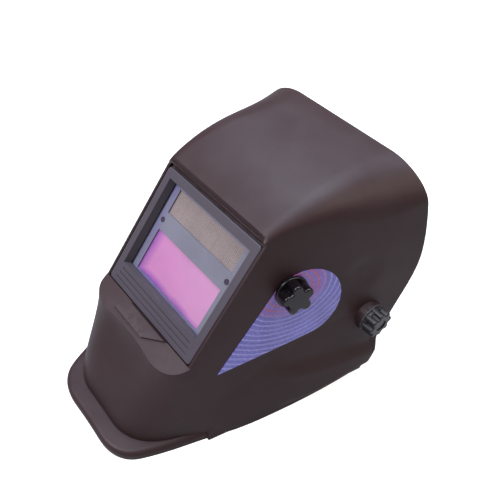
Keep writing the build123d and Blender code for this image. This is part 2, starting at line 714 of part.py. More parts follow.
def tension_knob():
    """Fluted knob on the wearer's left."""
    lobes = lobed_knob(TENSION_KNOB_LOBES, TENSION_KNOB_RADIUS, 3.0, 0, TENSION_KNOB_HEIGHT, 1.4)
    collar = upright(TENSION_KNOB_RADIUS - 1.5, 0, 3.5)
    socket = upright(insert_radius, -1, INSERT_LENGTH) + upright(STUD_RADIUS + 0.5, 0, INSERT_LENGTH + 1)
    knob = lobes + collar - socket
    dimple = upright(TENSION_KNOB_RADIUS - 8, TENSION_KNOB_HEIGHT - 1, TENSION_KNOB_HEIGHT + 1)
    return Pos(tension_low, PIVOT_Y, PIVOT_Z) * Rot(0, 90, 0) * (knob - dimple)


def tension_nut():
    nut = upright(insert_radius, 0, INSERT_LENGTH) - upright(STUD_RADIUS + RUNNING_FIT, -1, 20)
    return Pos(tension_low, PIVOT_Y, PIVOT_Z) * Rot(0, 90, 0) * nut


# ------------------------------------------------------------------ headgear
def ring_place(shape):
    """Move a shape from the ring's own frame to the helmet's frame."""
    return Pos(0, RING_Y, PIVOT_Z) * shape


def rear_point(radius, angle):
    """Point of the rear half of the ring: the angle runs from straight back towards the wearer's left."""
    radians = math.radians(angle)
    return (radius * math.sin(radians), radius * math.cos(radians))


def rear_sector(inner, outer, start, end, low, high):
    """Curved bar of the rear half of the ring."""
    arcs = [CenterArc((0, 0), radius, 90 - end, end - start) for radius in (inner, outer)]
    sides = [Line(arcs[0] @ 0, arcs[1] @ 0), Line(arcs[0] @ 1, arcs[1] @ 1)]
    sector = make_face(Wire([arcs[0], sides[0], arcs[1], sides[1]]))
    return Pos(0, 0, low) * extrude(sector, high - low)


band_outer = BAND_RADIUS - TAIL_THICK / 2 - LAP_GAP
band_inner = band_outer - BAND_THICK
front_reach = BAND_FRONT - BAND_RADIUS


def front_half(offset_in, offset_out, low, high):
    """Curved bar of the front half of the ring, between two distances inside the band's outer face."""
    faces = []
    for inset in (offset_out, offset_in):
        across = band_outer - inset
        along = band_outer + front_reach - inset
        arc = EllipticalCenterArc((0, 0), across, along, start_angle=180, arc_size=180)
        faces.append(make_face(Wire([arc, Line(arc @ 1, arc @ 0)])))
    return Pos(0, 0, low) * extrude(faces[0] - faces[1], high - low)


def brow_band():
    half_height = BAND_HEIGHT / 2
    band = front_half(BAND_THICK, 0, -half_height, half_height)
    for side in (1, -1):
        start, end = sorted((side * BAND_END_ANGLE, side * 90))
        band = band + rear_sector(band_inner, band_outer, start, end, -half_height, half_height)
    slots = 5
    for index in range(slots):
        offset = (index - (slots - 1) / 2) * 18
        band = band - Pos(offset, -BAND_FRONT, 0) * Box(9, 30, 5)
    return ring_place(band)


def arm_path():
    """Plan of one side arm, from behind the pivot forward to the brow band."""
    x = arm_outer - ARM_THICK / 2
    lap_start = math.radians(28)
    lap_end = math.radians(46)
    across = band_outer + ARM_THICK / 2 + 0.1
    along = band_outer + front_reach + ARM_THICK / 2 + 0.1
    angles = (lap_start, (lap_start + lap_end) / 2, lap_end)
    lap = [(across * math.cos(angle), -along * math.sin(angle)) for angle in angles]
    return FilletPolyline((x, -RING_BACK + 16), (x, -RING_BACK - 18), lap[0], lap[1], lap[2], radius=9)


def side_arm():
    strip = trace(arm_path(), line_width=ARM_THICK)
    arm = Pos(0, 0, -ARM_HEIGHT / 2) * extrude(strip, ARM_HEIGHT)
    arm = ring_place(arm) + pivot_disc(BOSS_RADIUS - 2, arm_outer - ARM_THICK, arm_outer)
    arm = arm - brow_band()
    return arm - pivot_disc(STUD_RADIUS + RUNNING_FIT, 0, LARGE)


strap_lap = STRAP_THICK + 0.8


def crown_strap(rise_extra, side):
    """Half of the strap over the crown: from one side of the band to just past the top."""
    across = band_inner
    lap = 16
    low = -BAND_HEIGHT / 2
    outer = EllipticalCenterArc((0, 0), across, STRAP_RISE + rise_extra, arc_size=90 + lap)
    inner_rise = STRAP_RISE + rise_extra - STRAP_THICK
    inner = EllipticalCenterArc((0, 0), across - STRAP_THICK, inner_rise, arc_size=90 + lap)
    edges = [outer, inner, Line(outer @ 1, inner @ 1)]
    edges += [Line(outer @ 0, (across, low)), Line((across, low), (across - STRAP_THICK, low))]
    edges.append(Line((across - STRAP_THICK, low), inner @ 0))
    profile = make_face(Wire(edges))
    strap = Plane.XZ.location * extrude(profile, STRAP_WIDTH / 2, both=True)
    for step in range(-2, 3):
        strap = strap - Pos(step * SNAP_PITCH, 0, STRAP_RISE) * Cylinder(SNAP_PIN_RADIUS + RUNNING_FIT, 30)
    if side < 0:
        strap = mirrored(strap)
    return ring_place(strap)


def crown_snap_pins():
    """Two snap pins through the lapped ends of the crown strap."""
    pins = []
    for x in (-SNAP_PITCH, SNAP_PITCH):
        pin = Pos(x, 0, STRAP_RISE + 0.5) * Cylinder(SNAP_PIN_RADIUS, 9)
        head = Pos(x, 0, STRAP_RISE + STRAP_THICK + 2.6) * Cylinder(2 * SNAP_PIN_RADIUS, 1.6)
        pins.append(ring_place(pin + head))
    return Compound(children=pins)


def headgear_rivets():
    """Rivets that hold the side arms and the crown strap to the brow band."""
    rivets = []
    angle = math.radians(40)
    across = band_outer
    along = band_outer + front_reach
    centre = Vector(across * math.cos(angle), -along * math.sin(angle), 0)
    outward = Vector(math.cos(angle) / across, -math.sin(angle) / along, 0).normalized()
    plane = Plane(origin=centre, z_dir=outward)
    for height in (-5, 5):
        low = Pos(0, height, 0)
        rivet = low * (Pos(0, 0, 1.45) * Cylinder(RIVET_RADIUS, 7.1) + Pos(0, 0, 4.6) * Cylinder(3.2, 1.4))
        rivets.append(ring_place(plane.location * rivet))
    strap_plane = Plane(origin=(band_outer, 0, 0), z_dir=(1, 0, 0))
    for along_y in (-5, 5):
        rivet = Pos(0, 0, -1.8) * Cylinder(RIVET_RADIUS, 4.4) + Pos(0, 0, 0.4) * Cylinder(2.6, 0.8)
        rivets.append(ring_place(strap_plane.location * Pos(0, along_y, 0) * rivet))
    group = []
    for rivet in rivets:
        group.append(rivet)
        group.append(mirrored(rivet))
    return Compound(children=group)


def cut_for_rivets(shape):
    return shape - headgear_rivets()


def sweatband():
    """Padding inside the brow band."""
    near = BAND_THICK + 0.4
    pad = front_half(near + PAD_THICK, near, -SWEATBAND_HEIGHT / 2, SWEATBAND_HEIGHT / 2)
    return ring_place(pad - Box(LARGE, 2 * SWEATBAND_END, LARGE))


def band_keepers():
    """Loops on the brow band that guide the sliding tails."""
    loops = []
    half_height = BAND_HEIGHT / 2
    for side in (1, -1):
        start, end = sorted((side * (KEEPER_ANGLE - 3), side * (KEEPER_ANGLE + 3)))
        reach = BAND_RADIUS + TAIL_THICK / 2 + SLIDE_GAP
        loop = rear_sector(band_outer, reach + 1.6, start, end, -half_height - 2, half_height + 2)
        hollow = rear_sector(band_outer - 1, reach, start - 2, end + 2, -half_height + 0.4, half_height - 0.4)
        loops.append(ring_place(loop - hollow))
    return Compound(children=loops)


housing_inner = BAND_RADIUS - TAIL_THICK / 2 - SLIDE_GAP
housing_slot = BAND_RADIUS + TAIL_THICK / 2 + SLIDE_GAP
housing_outer = housing_slot + HOUSING_WALL
tail_half_height = 11.0
boss_outer_y = housing_outer + 3.2
tooth_pitch = 2 * math.pi * PINION_PITCH_RADIUS / PINION_TEETH
tooth_rise = 0.7
tooth_root = 1.1
pinion_width = TAIL_THICK + 0.4


def ring_axis_disc(radius, near, far):
    """Disc on the ratchet axis, straight back from the ring centre."""
    return Pos(0, (near + far) / 2, 0) * Rot(90, 0, 0) * Cylinder(radius, far - near)


def ratchet_housing():
    half_height = HOUSING_HEIGHT / 2
    angles = (-HOUSING_ANGLE, HOUSING_ANGLE)
    shape = rear_sector(housing_inner, housing_outer, *angles, -half_height, half_height)
    shape = shape + ring_axis_disc(half_height, BAND_RADIUS, boss_outer_y)
    slot_half = tail_half_height + SLIDE_GAP
    slot = rear_sector(1, housing_slot, -HOUSING_ANGLE - 5, HOUSING_ANGLE + 5, -slot_half, slot_half)
    shape = shape - slot - rear_sector(1, housing_inner, -89, 89, -30, 30)
    return ring_place(shape - ring_axis_disc(RATCHET_SHAFT_RADIUS + RUNNING_FIT, 0, LARGE))


def ratchet_cover():
    half_height = HOUSING_HEIGHT / 2
    inner = housing_inner - COVER_THICK
    shape = rear_sector(inner, housing_inner, -HOUSING_ANGLE, HOUSING_ANGLE, -half_height, half_height)
    return ring_place(shape - ring_axis_disc(TRUNNION_RADIUS + RUNNING_FIT, 0, LARGE))


def ratchet_screws():
    """Four screws that hold the cover to the housing."""
    screws = []
    for angle in (-22, 22):
        for height in (-15.5, 15.5):
            x, y = rear_point(housing_inner, angle)
            plane = Plane(origin=(x, y, height), z_dir=(x, y, 0))
            head = Pos(0, 0, -2.9) * Cylinder(2.4, 1.2)
            shank = Pos(0, 0, 0.2) * Cylinder(1.2, 5.6)
            screws.append(ring_place(plane.location * (head + shank)))
    return Compound(children=screws)


def nape_pad():
    inner = housing_inner - COVER_THICK - 1.6
    half_height = HOUSING_HEIGHT / 2
    angles = (-HOUSING_ANGLE, HOUSING_ANGLE)
    return ring_place(rear_sector(inner - PAD_THICK, inner, *angles, -half_height, half_height))


def tooth_profile(root, tip, root_width, tip_width):
    """Trapezoid tooth pointing along +Y."""
    corners = ((-root_width / 2, root), (root_width / 2, root), (tip_width / 2, tip), (-tip_width / 2, tip))
    return Polyline(*corners, close=True)


def band_tail():
    """Sliding tail on the wearer's left, with its rack over the pinion."""
    rack_low = PINION_PITCH_RADIUS + tooth_root
    inner = BAND_RADIUS - TAIL_THICK / 2
    outer = BAND_RADIUS + TAIL_THICK / 2
    tail = rear_sector(inner, outer, TAIL_TIP_ANGLE, TAIL_SHOULDER_ANGLE, rack_low, tail_half_height)
    shoulder = (TAIL_SHOULDER_ANGLE, TAIL_END_ANGLE)
    tail = tail + rear_sector(inner, outer, *shoulder, -tail_half_height, tail_half_height)
    step = math.degrees(tooth_pitch / BAND_RADIUS)
    profile = make_face(tooth_profile(rack_low + 0.2, PINION_PITCH_RADIUS - tooth_rise, 1.5, 0.6))
    tooth = Pos(0, BAND_RADIUS + TAIL_THICK / 2, 0) * extrude(Plane.XZ.location * profile, TAIL_THICK)
    teeth_each_way = int(-TAIL_TIP_ANGLE / step)
    for index in range(-teeth_each_way, teeth_each_way):
        tail = tail + Rot(0, 0, -(index + 0.5) * step) * tooth
    return ring_place(tail)


def ratchet_pinion():
    root = PINION_PITCH_RADIUS - tooth_root
    gear = Cylinder(root, pinion_width)
    profile = make_face(tooth_profile(root - 0.4, PINION_PITCH_RADIUS + tooth_rise, 1.6, 0.6))
    tooth = Pos(0, 0, -pinion_width / 2) * extrude(profile, pinion_width)
    for index in range(PINION_TEETH):
        gear = gear + Rot(0, 0, index * 360 / PINION_TEETH) * tooth
    gear = Pos(0, BAND_RADIUS, 0) * Rot(90, 0, 0) * gear
    trunnion = ring_axis_disc(TRUNNION_RADIUS, housing_inner - COVER_THICK, BAND_RADIUS)
    shaft_near = BAND_RADIUS + pinion_width / 2 - 0.1
    shaft = ring_axis_disc(RATCHET_SHAFT_RADIUS, shaft_near, boss_outer_y + RATCHET_SHAFT_REACH)
    return ring_place(gear + trunnion + shaft)


def ratchet_knob():
    low = boss_outer_y + FACE_CLEARANCE
    flutes = 12
    flute_radius = 3.0
    profile = Circle(RATCHET_KNOB_RADIUS)
    for index in range(flutes):
        angle = math.radians(360 / flutes * index)
        reach = RATCHET_KNOB_RADIUS + 1.2
        profile = profile - Pos(reach * math.cos(angle), reach * math.sin(angle)) * Circle(flute_radius)
    knob = extrude(profile, RATCHET_KNOB_HEIGHT)
    knob = fillet(knob.edges().group_by(Axis.Z)[-1], 1.2)
    skirt = upright(RATCHET_KNOB_RADIUS - 2, 0, 4)
    bore = upright(RATCHET_SHAFT_RADIUS, -1, boss_outer_y + RATCHET_SHAFT_REACH - low)
    return ring_place(Pos(0, low, 0) * Rot(-90, 0, 0) * (knob + skirt - bore))


half_lens = LENS_HEIGHT / 2
knob_end_y = RING_Y + boss_outer_y + FACE_CLEARANCE + RATCHET_KNOB_HEIGHT
origin_y = (LIP_FRONT + knob_end_y) / 2
save("helmet_shell", helmet_shell())
save("front_bezel", front_bezel())
save("outer_cover_lens", lens_plate(LENS_WIDTH, -half_lens, half_lens, lens_near, LENS_THICK))
save("lens_gasket", lens_gasket())
save("filter_holder", filter_holder())
save("cartridge_front_housing", cartridge_front_housing())
save("cartridge_rear_housing", cartridge_rear_housing())
save("viewing_filter", viewing_filter())
save("solar_panel", solar_panel())
save("light_sensors", light_sensors())
save("circuit_board", circuit_board())
save("battery_cells", battery_cells())
save("inner_cover_lens", lens_plate(VIEW_WIDTH + 8, VIEW_BOTTOM - 2, VIEW_TOP + 3, cartridge_far, LENS_THICK))
save("cartridge_bail", cartridge_bail())
save("sensitivity_dial", sensitivity_dial())
save("delay_switch", delay_switch())
save("side_label", side_label())
save("shade_potentiometer", shade_potentiometer())
save("potentiometer_nut", potentiometer_nut())
save("potentiometer_shaft", potentiometer_shaft())
save("shade_knob", shade_knob())
save("shade_control_lead", shade_control_lead())
save("lead_grommet", lead_grommet())
save("pivot_studs", pivot_studs())
save("outer_washers", outer_washers())
save("inner_washers", inner_washers())
save("tension_knob_left", tension_knob())
save("tension_knob_right", mirrored(tension_knob()))
save("tension_nut_left", tension_nut())
save("tension_nut_right", mirrored(tension_nut()))
save("brow_band", cut_for_rivets(brow_band()))
save("side_arm_left", cut_for_rivets(side_arm()))
save("side_arm_right", cut_for_rivets(mirrored(side_arm())))
save("crown_strap_left", cut_for_rivets(crown_strap(0, 1) - brow_band()))
save("crown_strap_right", cut_for_rivets(crown_strap(strap_lap, -1) - brow_band()))
save("crown_snap_pins", crown_snap_pins())
save("headgear_rivets", headgear_rivets())
save("band_keepers", band_keepers())
save("sweatband", sweatband())
save("ratchet_housing", ratchet_housing() - ratchet_screws())
save("ratchet_cover", ratchet_cover() - ratchet_screws())
save("ratchet_screws", ratchet_screws())
save("nape_pad", nape_pad())
save("band_tail_left", band_tail())
save("band_tail_right", Pos(0, 0, 2 * PIVOT_Z) * mirror(mirrored(band_tail()), about=Plane.XY))
save("ratchet_pinion", ratchet_pinion())
save("ratchet_knob", ratchet_knob())
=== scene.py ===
"""Auto-darkening welding helmet: studio, finishes and finished pieces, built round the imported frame.

All lengths are metres. +X is the wearer's left, -Y the viewing face and +Z up.
"""
import json
import logging
import math
from dataclasses import dataclass, field
from enum import Enum
from typing import Any, Callable, Optional, Sequence

import bmesh
import bpy
import numpy as np
from mathutils import Euler, Matrix, Vector


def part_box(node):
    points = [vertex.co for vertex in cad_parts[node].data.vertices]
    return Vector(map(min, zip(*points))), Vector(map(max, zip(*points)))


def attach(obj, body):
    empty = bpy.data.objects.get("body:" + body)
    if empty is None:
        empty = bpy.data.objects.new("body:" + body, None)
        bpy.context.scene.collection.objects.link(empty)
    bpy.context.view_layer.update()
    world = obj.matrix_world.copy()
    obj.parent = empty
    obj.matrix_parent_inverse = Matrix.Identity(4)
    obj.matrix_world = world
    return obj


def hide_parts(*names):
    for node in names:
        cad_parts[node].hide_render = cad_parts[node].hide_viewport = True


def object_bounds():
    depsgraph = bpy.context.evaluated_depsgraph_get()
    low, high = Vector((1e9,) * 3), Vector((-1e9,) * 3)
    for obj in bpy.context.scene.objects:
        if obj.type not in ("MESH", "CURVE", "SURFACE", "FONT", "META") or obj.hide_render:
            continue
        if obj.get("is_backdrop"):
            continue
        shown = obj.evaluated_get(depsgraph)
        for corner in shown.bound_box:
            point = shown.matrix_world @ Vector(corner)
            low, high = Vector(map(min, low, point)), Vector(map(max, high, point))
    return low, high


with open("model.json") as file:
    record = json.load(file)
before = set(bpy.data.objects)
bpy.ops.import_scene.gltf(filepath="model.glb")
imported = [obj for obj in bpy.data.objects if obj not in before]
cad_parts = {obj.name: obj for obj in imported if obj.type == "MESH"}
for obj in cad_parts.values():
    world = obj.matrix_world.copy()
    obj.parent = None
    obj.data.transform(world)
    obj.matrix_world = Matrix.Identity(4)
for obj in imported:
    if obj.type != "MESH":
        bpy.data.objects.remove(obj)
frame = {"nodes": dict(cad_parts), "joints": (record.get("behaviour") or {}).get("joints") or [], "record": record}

LOG = logging.getLogger("helmet")
MM = 0.001
ORIGIN = (0.0, 0.0, 0.0)
DUST_GREY = (0.16, 0.155, 0.16, 1.0)
Colour = tuple[float, float, float]
Socket = bpy.types.NodeSocket
Thing = bpy.types.Object
Group = bpy.types.ShaderNodeTree


def opaque(colour: Colour) -> tuple[float, float, float, float]:
    """Return the colour with a full alpha."""
    return (*colour, 1.0)


def tinted(colour: Colour, share: float) -> tuple[float, float, float, float]:
    """Return the opaque colour made darker or lighter by a share."""
    return opaque(tuple(share * part for part in colour))


def smooth_step(values: np.ndarray, start: float, end: float) -> np.ndarray:
    """Ramp values from 0 at start to 1 at end, level at both ends.

    Args:
        values: Numbers to ramp.
        start: Where the ramp leaves 0.
        end: Where the ramp reaches 1; it may be below start.

    Returns:
        The ramped values.
    """
    share = np.clip((values - start) / (end - start), 0.0, 1.0)
    return share * share * (3.0 - 2.0 * share)


def linked(name: str, data: Any) -> Thing:
    """Make an object from its data and put it in the scene."""
    made = bpy.data.objects.new(name, data)
    bpy.context.scene.collection.objects.link(made)
    return made


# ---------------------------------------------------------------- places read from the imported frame
def mount_named(name: str) -> dict[str, Any]:
    """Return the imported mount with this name."""
    return next(mount for mount in frame["record"]["mounts"] if mount["name"] == name)


def joint_point(name: str) -> Vector:
    """Return the point that a packed joint turns or slides about."""
    return Vector(next(joint for joint in frame["joints"] if joint["name"] == name)["pos_m"])


@dataclass(frozen=True)
class ViewingFace:
    """The leaning plane of the window: X across, U up the face and N out of it."""

    origin: Vector
    across: Vector
    up: Vector
    out: Vector

    @classmethod
    def measured(cls) -> "ViewingFace":
        """Return the plane of the cover lens seat."""
        seat = mount_named("cover_lens_seat")
        out = Vector(seat["axis"]).normalized()
        across = Vector((1.0, 0.0, 0.0))
        return cls(Vector(seat["pos_m"]), across, out.cross(across), out)

    def point(self, across: float, up: float, out: float) -> Vector:
        """Return the place of a point given in the face's own lengths."""
        return self.origin + self.across * across + self.up * up + self.out * out

    def measure(self, points: np.ndarray) -> tuple[np.ndarray, np.ndarray, np.ndarray]:
        """Return how far points lie across, up and out of the face."""
        local = points - np.array(self.origin)
        return local @ np.array(self.across), local @ np.array(self.up), local @ np.array(self.out)

    def euler(self) -> Euler:
        """Return the turn from level to the face, as X, Y and Z angles."""
        return Matrix((self.across, self.up, self.out)).transposed().to_euler()


@dataclass(frozen=True)
class HeadRing:
    """The headgear's ring in plan: half an ellipse in front and half a circle behind."""

    centre: Vector
    across: float
    along: float

    @classmethod
    def measured(cls) -> "HeadRing":
        """Return the ring that the brow band follows."""
        low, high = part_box("brow_band")
        centre = Vector(mount_named("head_ring")["pos_m"])
        return cls(centre, high.x, centre.y - low.y)

    def front(self, angle: float, inset: float, height: float) -> Vector:
        """Return a point of the front half.

        Args:
            angle: From the wearer's left, in radians; a quarter turn is the middle of the brow.
            inset: How far inside the band's outer face.
            height: Above the ring's centre.

        Returns:
            The point.
        """
        across = (self.across - inset) * math.cos(angle)
        along = -(self.along - inset) * math.sin(angle)
        return self.centre + Vector((across, along, height))

    def rear(self, angle: float, radius: float, height: float) -> Vector:
        """Return a point behind the centre, with the angle from straight back."""
        return self.centre + Vector((radius * math.sin(angle), radius * math.cos(angle), height))


# ---------------------------------------------------------------- node trees
class NodeSheet:
    """Adds nodes to one tree and joins them."""

    def __init__(self, tree: bpy.types.NodeTree) -> None:
        """Keep the tree that the nodes go into."""
        self.tree = tree

    def add(self, kind: str, inputs: Optional[dict[Any, Any]] = None, **settings: Any) -> bpy.types.Node:
        """Add one node.

        Args:
            kind: The node's type.
            inputs: Input name or index to a value, or to the socket that feeds it.
            **settings: Properties of the node itself.

        Returns:
            The new node.
        """
        node = self.tree.nodes.new(kind)
        for name, value in settings.items():
            setattr(node, name, value)
        for key, value in (inputs or {}).items():
            if isinstance(value, Socket):
                self.tree.links.new(value, node.inputs[key])
            else:
                node.inputs[key].default_value = value
        return node

    def math(self, operation: str, *values: Any) -> Socket:
        """Return the result of a math node fed with up to three values or sockets."""
        return self.add("ShaderNodeMath", dict(enumerate(values)), operation=operation).outputs[0]

    def vector(self, operation: str, *values: Any) -> bpy.types.Node:
        """Return a vector math node fed with the given values or sockets."""
        return self.add("ShaderNodeVectorMath", dict(enumerate(values)), operation=operation)

    def ramp(self, value: Any, low: Any, high: Any, to_low: Any = 0.0, to_high: Any = 1.0) -> Socket:
        """Return a value mapped from one range to another and kept inside it."""
        inputs = dict(enumerate((value, low, high, to_low, to_high)))
        return self.add("ShaderNodeMapRange", inputs).outputs[0]

    def mix(self, share: Any, first: Any, second: Any) -> Socket:
        """Return two colours mixed by a share."""
        inputs = {0: share, 6: first, 7: second}
        return self.add("ShaderNodeMix", inputs, data_type="RGBA").outputs[2]

    def noise(self, vector: Any, scale: Any, detail: float = 3.0) -> Socket:
        """Return the value of a noise texture."""
        inputs = {"Vector": vector, "Scale": scale, "Detail": detail}
        return self.add("ShaderNodeTexNoise", inputs).outputs[0]


def blank_sheet(owner: Any) -> NodeSheet:
    """Give a material or a world an empty tree and return it, ready for nodes."""
    owner.use_nodes = True
    owner.node_tree.nodes.clear()
    return NodeSheet(owner.node_tree)


def face_sockets(sheet: NodeSheet, place: Socket, face: ViewingFace) -> tuple[Socket, Socket]:
    """Return the sockets that tell how far a place lies across and up the viewing face."""
    local = sheet.vector("SUBTRACT", place, tuple(face.origin)).outputs[0]
    across = sheet.vector("DOT_PRODUCT", local, tuple(face.across)).outputs[1]
    return across, sheet.vector("DOT_PRODUCT", local, tuple(face.up)).outputs[1]


class ShaderLibrary:
    """Node groups for the effects that several finishes share, each built once."""

    def __init__(self) -> None:
        """Start with no group built."""
        self._groups: dict[str, Group] = {}

    def _group(
        self, name: str, inputs: dict[str, Any], outputs: Sequence[str],
        fill: Callable[[NodeSheet, Any], dict[str, Socket]],
    ) -> Group:
        """Build a group once.

        Args:
            name: The group's name.
            inputs: Input names with their starting values; a tuple makes a vector socket.
            outputs: Names of the value outputs.
            fill: Lays out the group and returns the sockets that feed its outputs.

        Returns:
            The group's tree.
        """
        if name not in self._groups:
            tree = bpy.data.node_groups.new(name, "ShaderNodeTree")
            for label, value in inputs.items():
                kind = "NodeSocketVector" if isinstance(value, tuple) else "NodeSocketFloat"
                socket = tree.interface.new_socket(label, in_out="INPUT", socket_type=kind)
                socket.default_value = value
            for label in outputs:
                tree.interface.new_socket(label, in_out="OUTPUT", socket_type="NodeSocketFloat")
            sheet = NodeSheet(tree)
            results = fill(sheet, sheet.add("NodeGroupInput").outputs)
            sheet.add("NodeGroupOutput", dict(results))
            self._groups[name] = tree
        return self._groups[name]

    def place(self, sheet: NodeSheet, tree: Group, **values: Any) -> bpy.types.Node:
        """Place a group in a material with its own values."""
        return sheet.add("ShaderNodeGroup", values, node_tree=tree)

    def mould_grain(self) -> Group:
        """Return the fine spark-eroded texture of a mould, with broad uneven gloss."""
        def fill(sheet: NodeSheet, given: Any) -> dict[str, Socket]:
            fine = sheet.noise(given["Place"], given["Scale"], 2.0)
            cells = {"Vector": given["Place"], "Scale": given["Scale"]}
            pits = sheet.add("ShaderNodeTexVoronoi", cells).outputs[0]
            height = sheet.math("ADD", sheet.math("MULTIPLY", fine, 0.6), sheet.math("MULTIPLY", pits, 0.4))
            broad = sheet.noise(given["Place"], sheet.math("MULTIPLY", given["Scale"], 0.02), 4.0)
            return {"Height": height, "Gloss": sheet.ramp(broad, 0.3, 0.7)}
        return self._group("mould_grain", {"Place": ORIGIN, "Scale": 900.0}, ("Height", "Gloss"), fill)

    def edge_wear(self) -> Group:
        """Return the mask of rubbed convex edges, broken up by handling marks."""
        def fill(sheet: NodeSheet, given: Any) -> dict[str, Socket]:
            sharp = sheet.add("ShaderNodeNewGeometry").outputs["Pointiness"]
            edge = sheet.ramp(sharp, 0.52, 0.62)
            broken = sheet.ramp(sheet.noise(given["Place"], given["Scale"], 6.0), 0.42, 0.62)
            return {"Mask": sheet.math("MULTIPLY", sheet.math("MULTIPLY", edge, broken), given["Amount"])}
        start = {"Place": ORIGIN, "Scale": 160.0, "Amount": 0.5}
        return self._group("edge_wear", start, ("Mask",), fill)

    def dust_film(self) -> Group:
        """Return the mask of fine dust that lies on faces turned up."""
        def fill(sheet: NodeSheet, given: Any) -> dict[str, Socket]:
            normal = sheet.add("ShaderNodeNewGeometry").outputs["Normal"]
            upward = sheet.add("ShaderNodeSeparateXYZ", {0: normal}).outputs[2]
            lying = sheet.ramp(upward, 0.2, 1.0)
            cloud = sheet.ramp(sheet.noise(given["Place"], 38.0, 7.0), 0.35, 0.75)
            return {"Mask": sheet.math("MULTIPLY", sheet.math("MULTIPLY", lying, cloud), given["Amount"])}
        return self._group("dust_film", {"Place": ORIGIN, "Amount": 0.3}, ("Mask",), fill)

    def streaks(self) -> Group:
        """Return the drawn or turned streaks of bare metal."""
        def fill(sheet: NodeSheet, given: Any) -> dict[str, Socket]:
            drawn = sheet.vector("MULTIPLY", given["Place"], (1.0, 0.06, 1.0)).outputs[0]
            lines = sheet.noise(drawn, given["Scale"], 4.0)
            return {"Height": lines, "Gloss": sheet.ramp(lines, 0.35, 0.65)}
        return self._group("streaks", {"Place": ORIGIN, "Scale": 1400.0}, ("Height", "Gloss"), fill)

    def weave(self) -> Group:
        """Return a fine knitted weave with a little fuzz; its Shade output is painted shade, dark in the hollows
        and light on the raised threads.
        """
        def fill(sheet: NodeSheet, given: Any) -> dict[str, Socket]:
            parts = sheet.add("ShaderNodeSeparateXYZ", {0: given["Place"]}).outputs
            turns = sheet.math("DIVIDE", math.tau, given["Pitch"])
            level = sheet.math("MULTIPLY", sheet.math("ADD", parts[0], parts[1]), turns)
            upright = sheet.math("MULTIPLY", parts[2], turns)
            warp = sheet.math("SINE", level)
            weft = sheet.math("SINE", upright)
            cross = sheet.math("ABSOLUTE", sheet.math("MULTIPLY", warp, weft))
            fuzz = sheet.noise(given["Place"], 2600.0, 3.0)
            height = sheet.math("ADD", cross, sheet.math("MULTIPLY", fuzz, 0.5))
            return {"Height": height, "Shade": sheet.ramp(height, 0.1, 1.1)}
        return self._group("weave", {"Place": ORIGIN, "Pitch": 0.0011}, ("Height", "Shade"), fill)


LIBRARY = ShaderLibrary()


# ---------------------------------------------------------------- finishes
class Finish:
    """A named material, made the first time it is asked for."""

    name: str

    def material(self) -> bpy.types.Material:
        """Return the material, and build it if this is its first use."""
        known = bpy.data.materials.get(self.name)
        if known is not None:
            return known
        material = bpy.data.materials.new(self.name)
        sheet = blank_sheet(material)
        place = sheet.add("ShaderNodeTexCoord").outputs["Object"]
        shader = self.lay_out(sheet, place)
        sheet.add("ShaderNodeOutputMaterial", {0: shader})
        return material

    def lay_out(self, sheet: NodeSheet, place: Socket) -> Socket:
        """Lay out the finish's nodes and return the shader that they end in."""
        raise NotImplementedError

    def bump(self, sheet: NodeSheet, height: Any, depth: float, strength: float = 1.0) -> Socket:
        """Return the normal that a height gives."""
        inputs = {"Height": height, "Distance": depth, "Strength": strength}
        return sheet.add("ShaderNodeBump", inputs).outputs[0]

    def principled(self, sheet: NodeSheet, **inputs: Any) -> Socket:
        """Return a Principled shader; an input's name has underscores for its spaces."""
        named = {name.replace("_", " "): value for name, value in inputs.items()}
        return sheet.add("ShaderNodeBsdfPrincipled", named).outputs[0]


@dataclass(frozen=True)
class MouldedPlastic(Finish):
    """Injection-moulded plastic with a spark-eroded grain, rubbed edges and a little dust."""

    name: str
    colour: Colour
    worn: Colour
    roughness: float = 0.5
    grain: float = 900.0
    depth: float = 0.00008
    wear: float = 0.35
    dust: float = 0.2
    specular: float = 0.5
    coat: float = 0.0

    def lay_out(self, sheet: NodeSheet, place: Socket) -> Socket:
        """Lay out the plastic and return its shader."""
        grain = LIBRARY.place(sheet, LIBRARY.mould_grain(), Place=place, Scale=self.grain)
        wear = LIBRARY.place(sheet, LIBRARY.edge_wear(), Place=place, Amount=self.wear)
        dust = LIBRARY.place(sheet, LIBRARY.dust_film(), Place=place, Amount=self.dust)
        body = sheet.mix(grain.outputs["Gloss"], opaque(self.colour), tinted(self.colour, 0.88))
        body = sheet.mix(wear.outputs["Mask"], body, opaque(self.worn))
        body = sheet.mix(dust.outputs["Mask"], body, DUST_GREY)
        rough = sheet.ramp(grain.outputs["Gloss"], 0.0, 1.0, self.roughness - 0.05, self.roughness + 0.05)
        rough = sheet.math("ADD", rough, sheet.math("MULTIPLY", dust.outputs["Mask"], 0.3))
        return self.principled(
            sheet, Base_Color=body, Roughness=rough, Specular_IOR_Level=self.specular,
            Coat_Weight=self.coat, Coat_Roughness=0.08,
            Normal=self.bump(sheet, grain.outputs["Height"], self.depth),
        )


@dataclass(frozen=True)
class BareMetal(Finish):
    """Plated, turned or drawn metal."""

    name: str
    colour: Colour
    roughness: float = 0.28

    def lay_out(self, sheet: NodeSheet, place: Socket) -> Socket:
        """Lay out the metal and return its shader."""
        streaks = LIBRARY.place(sheet, LIBRARY.streaks(), Place=place)
        stain = sheet.ramp(sheet.noise(place, 220.0, 5.0), 0.55, 0.8)
        body = sheet.mix(stain, opaque(self.colour), tinted(self.colour, 0.6))
        gloss = streaks.outputs["Gloss"]
        rough = sheet.ramp(gloss, 0.0, 1.0, self.roughness - 0.08, self.roughness + 0.12)
        return self.principled(
            sheet, Base_Color=body, Metallic=1.0, Roughness=rough,
            Normal=self.bump(sheet, streaks.outputs["Height"], 0.00002, 0.6),
        )


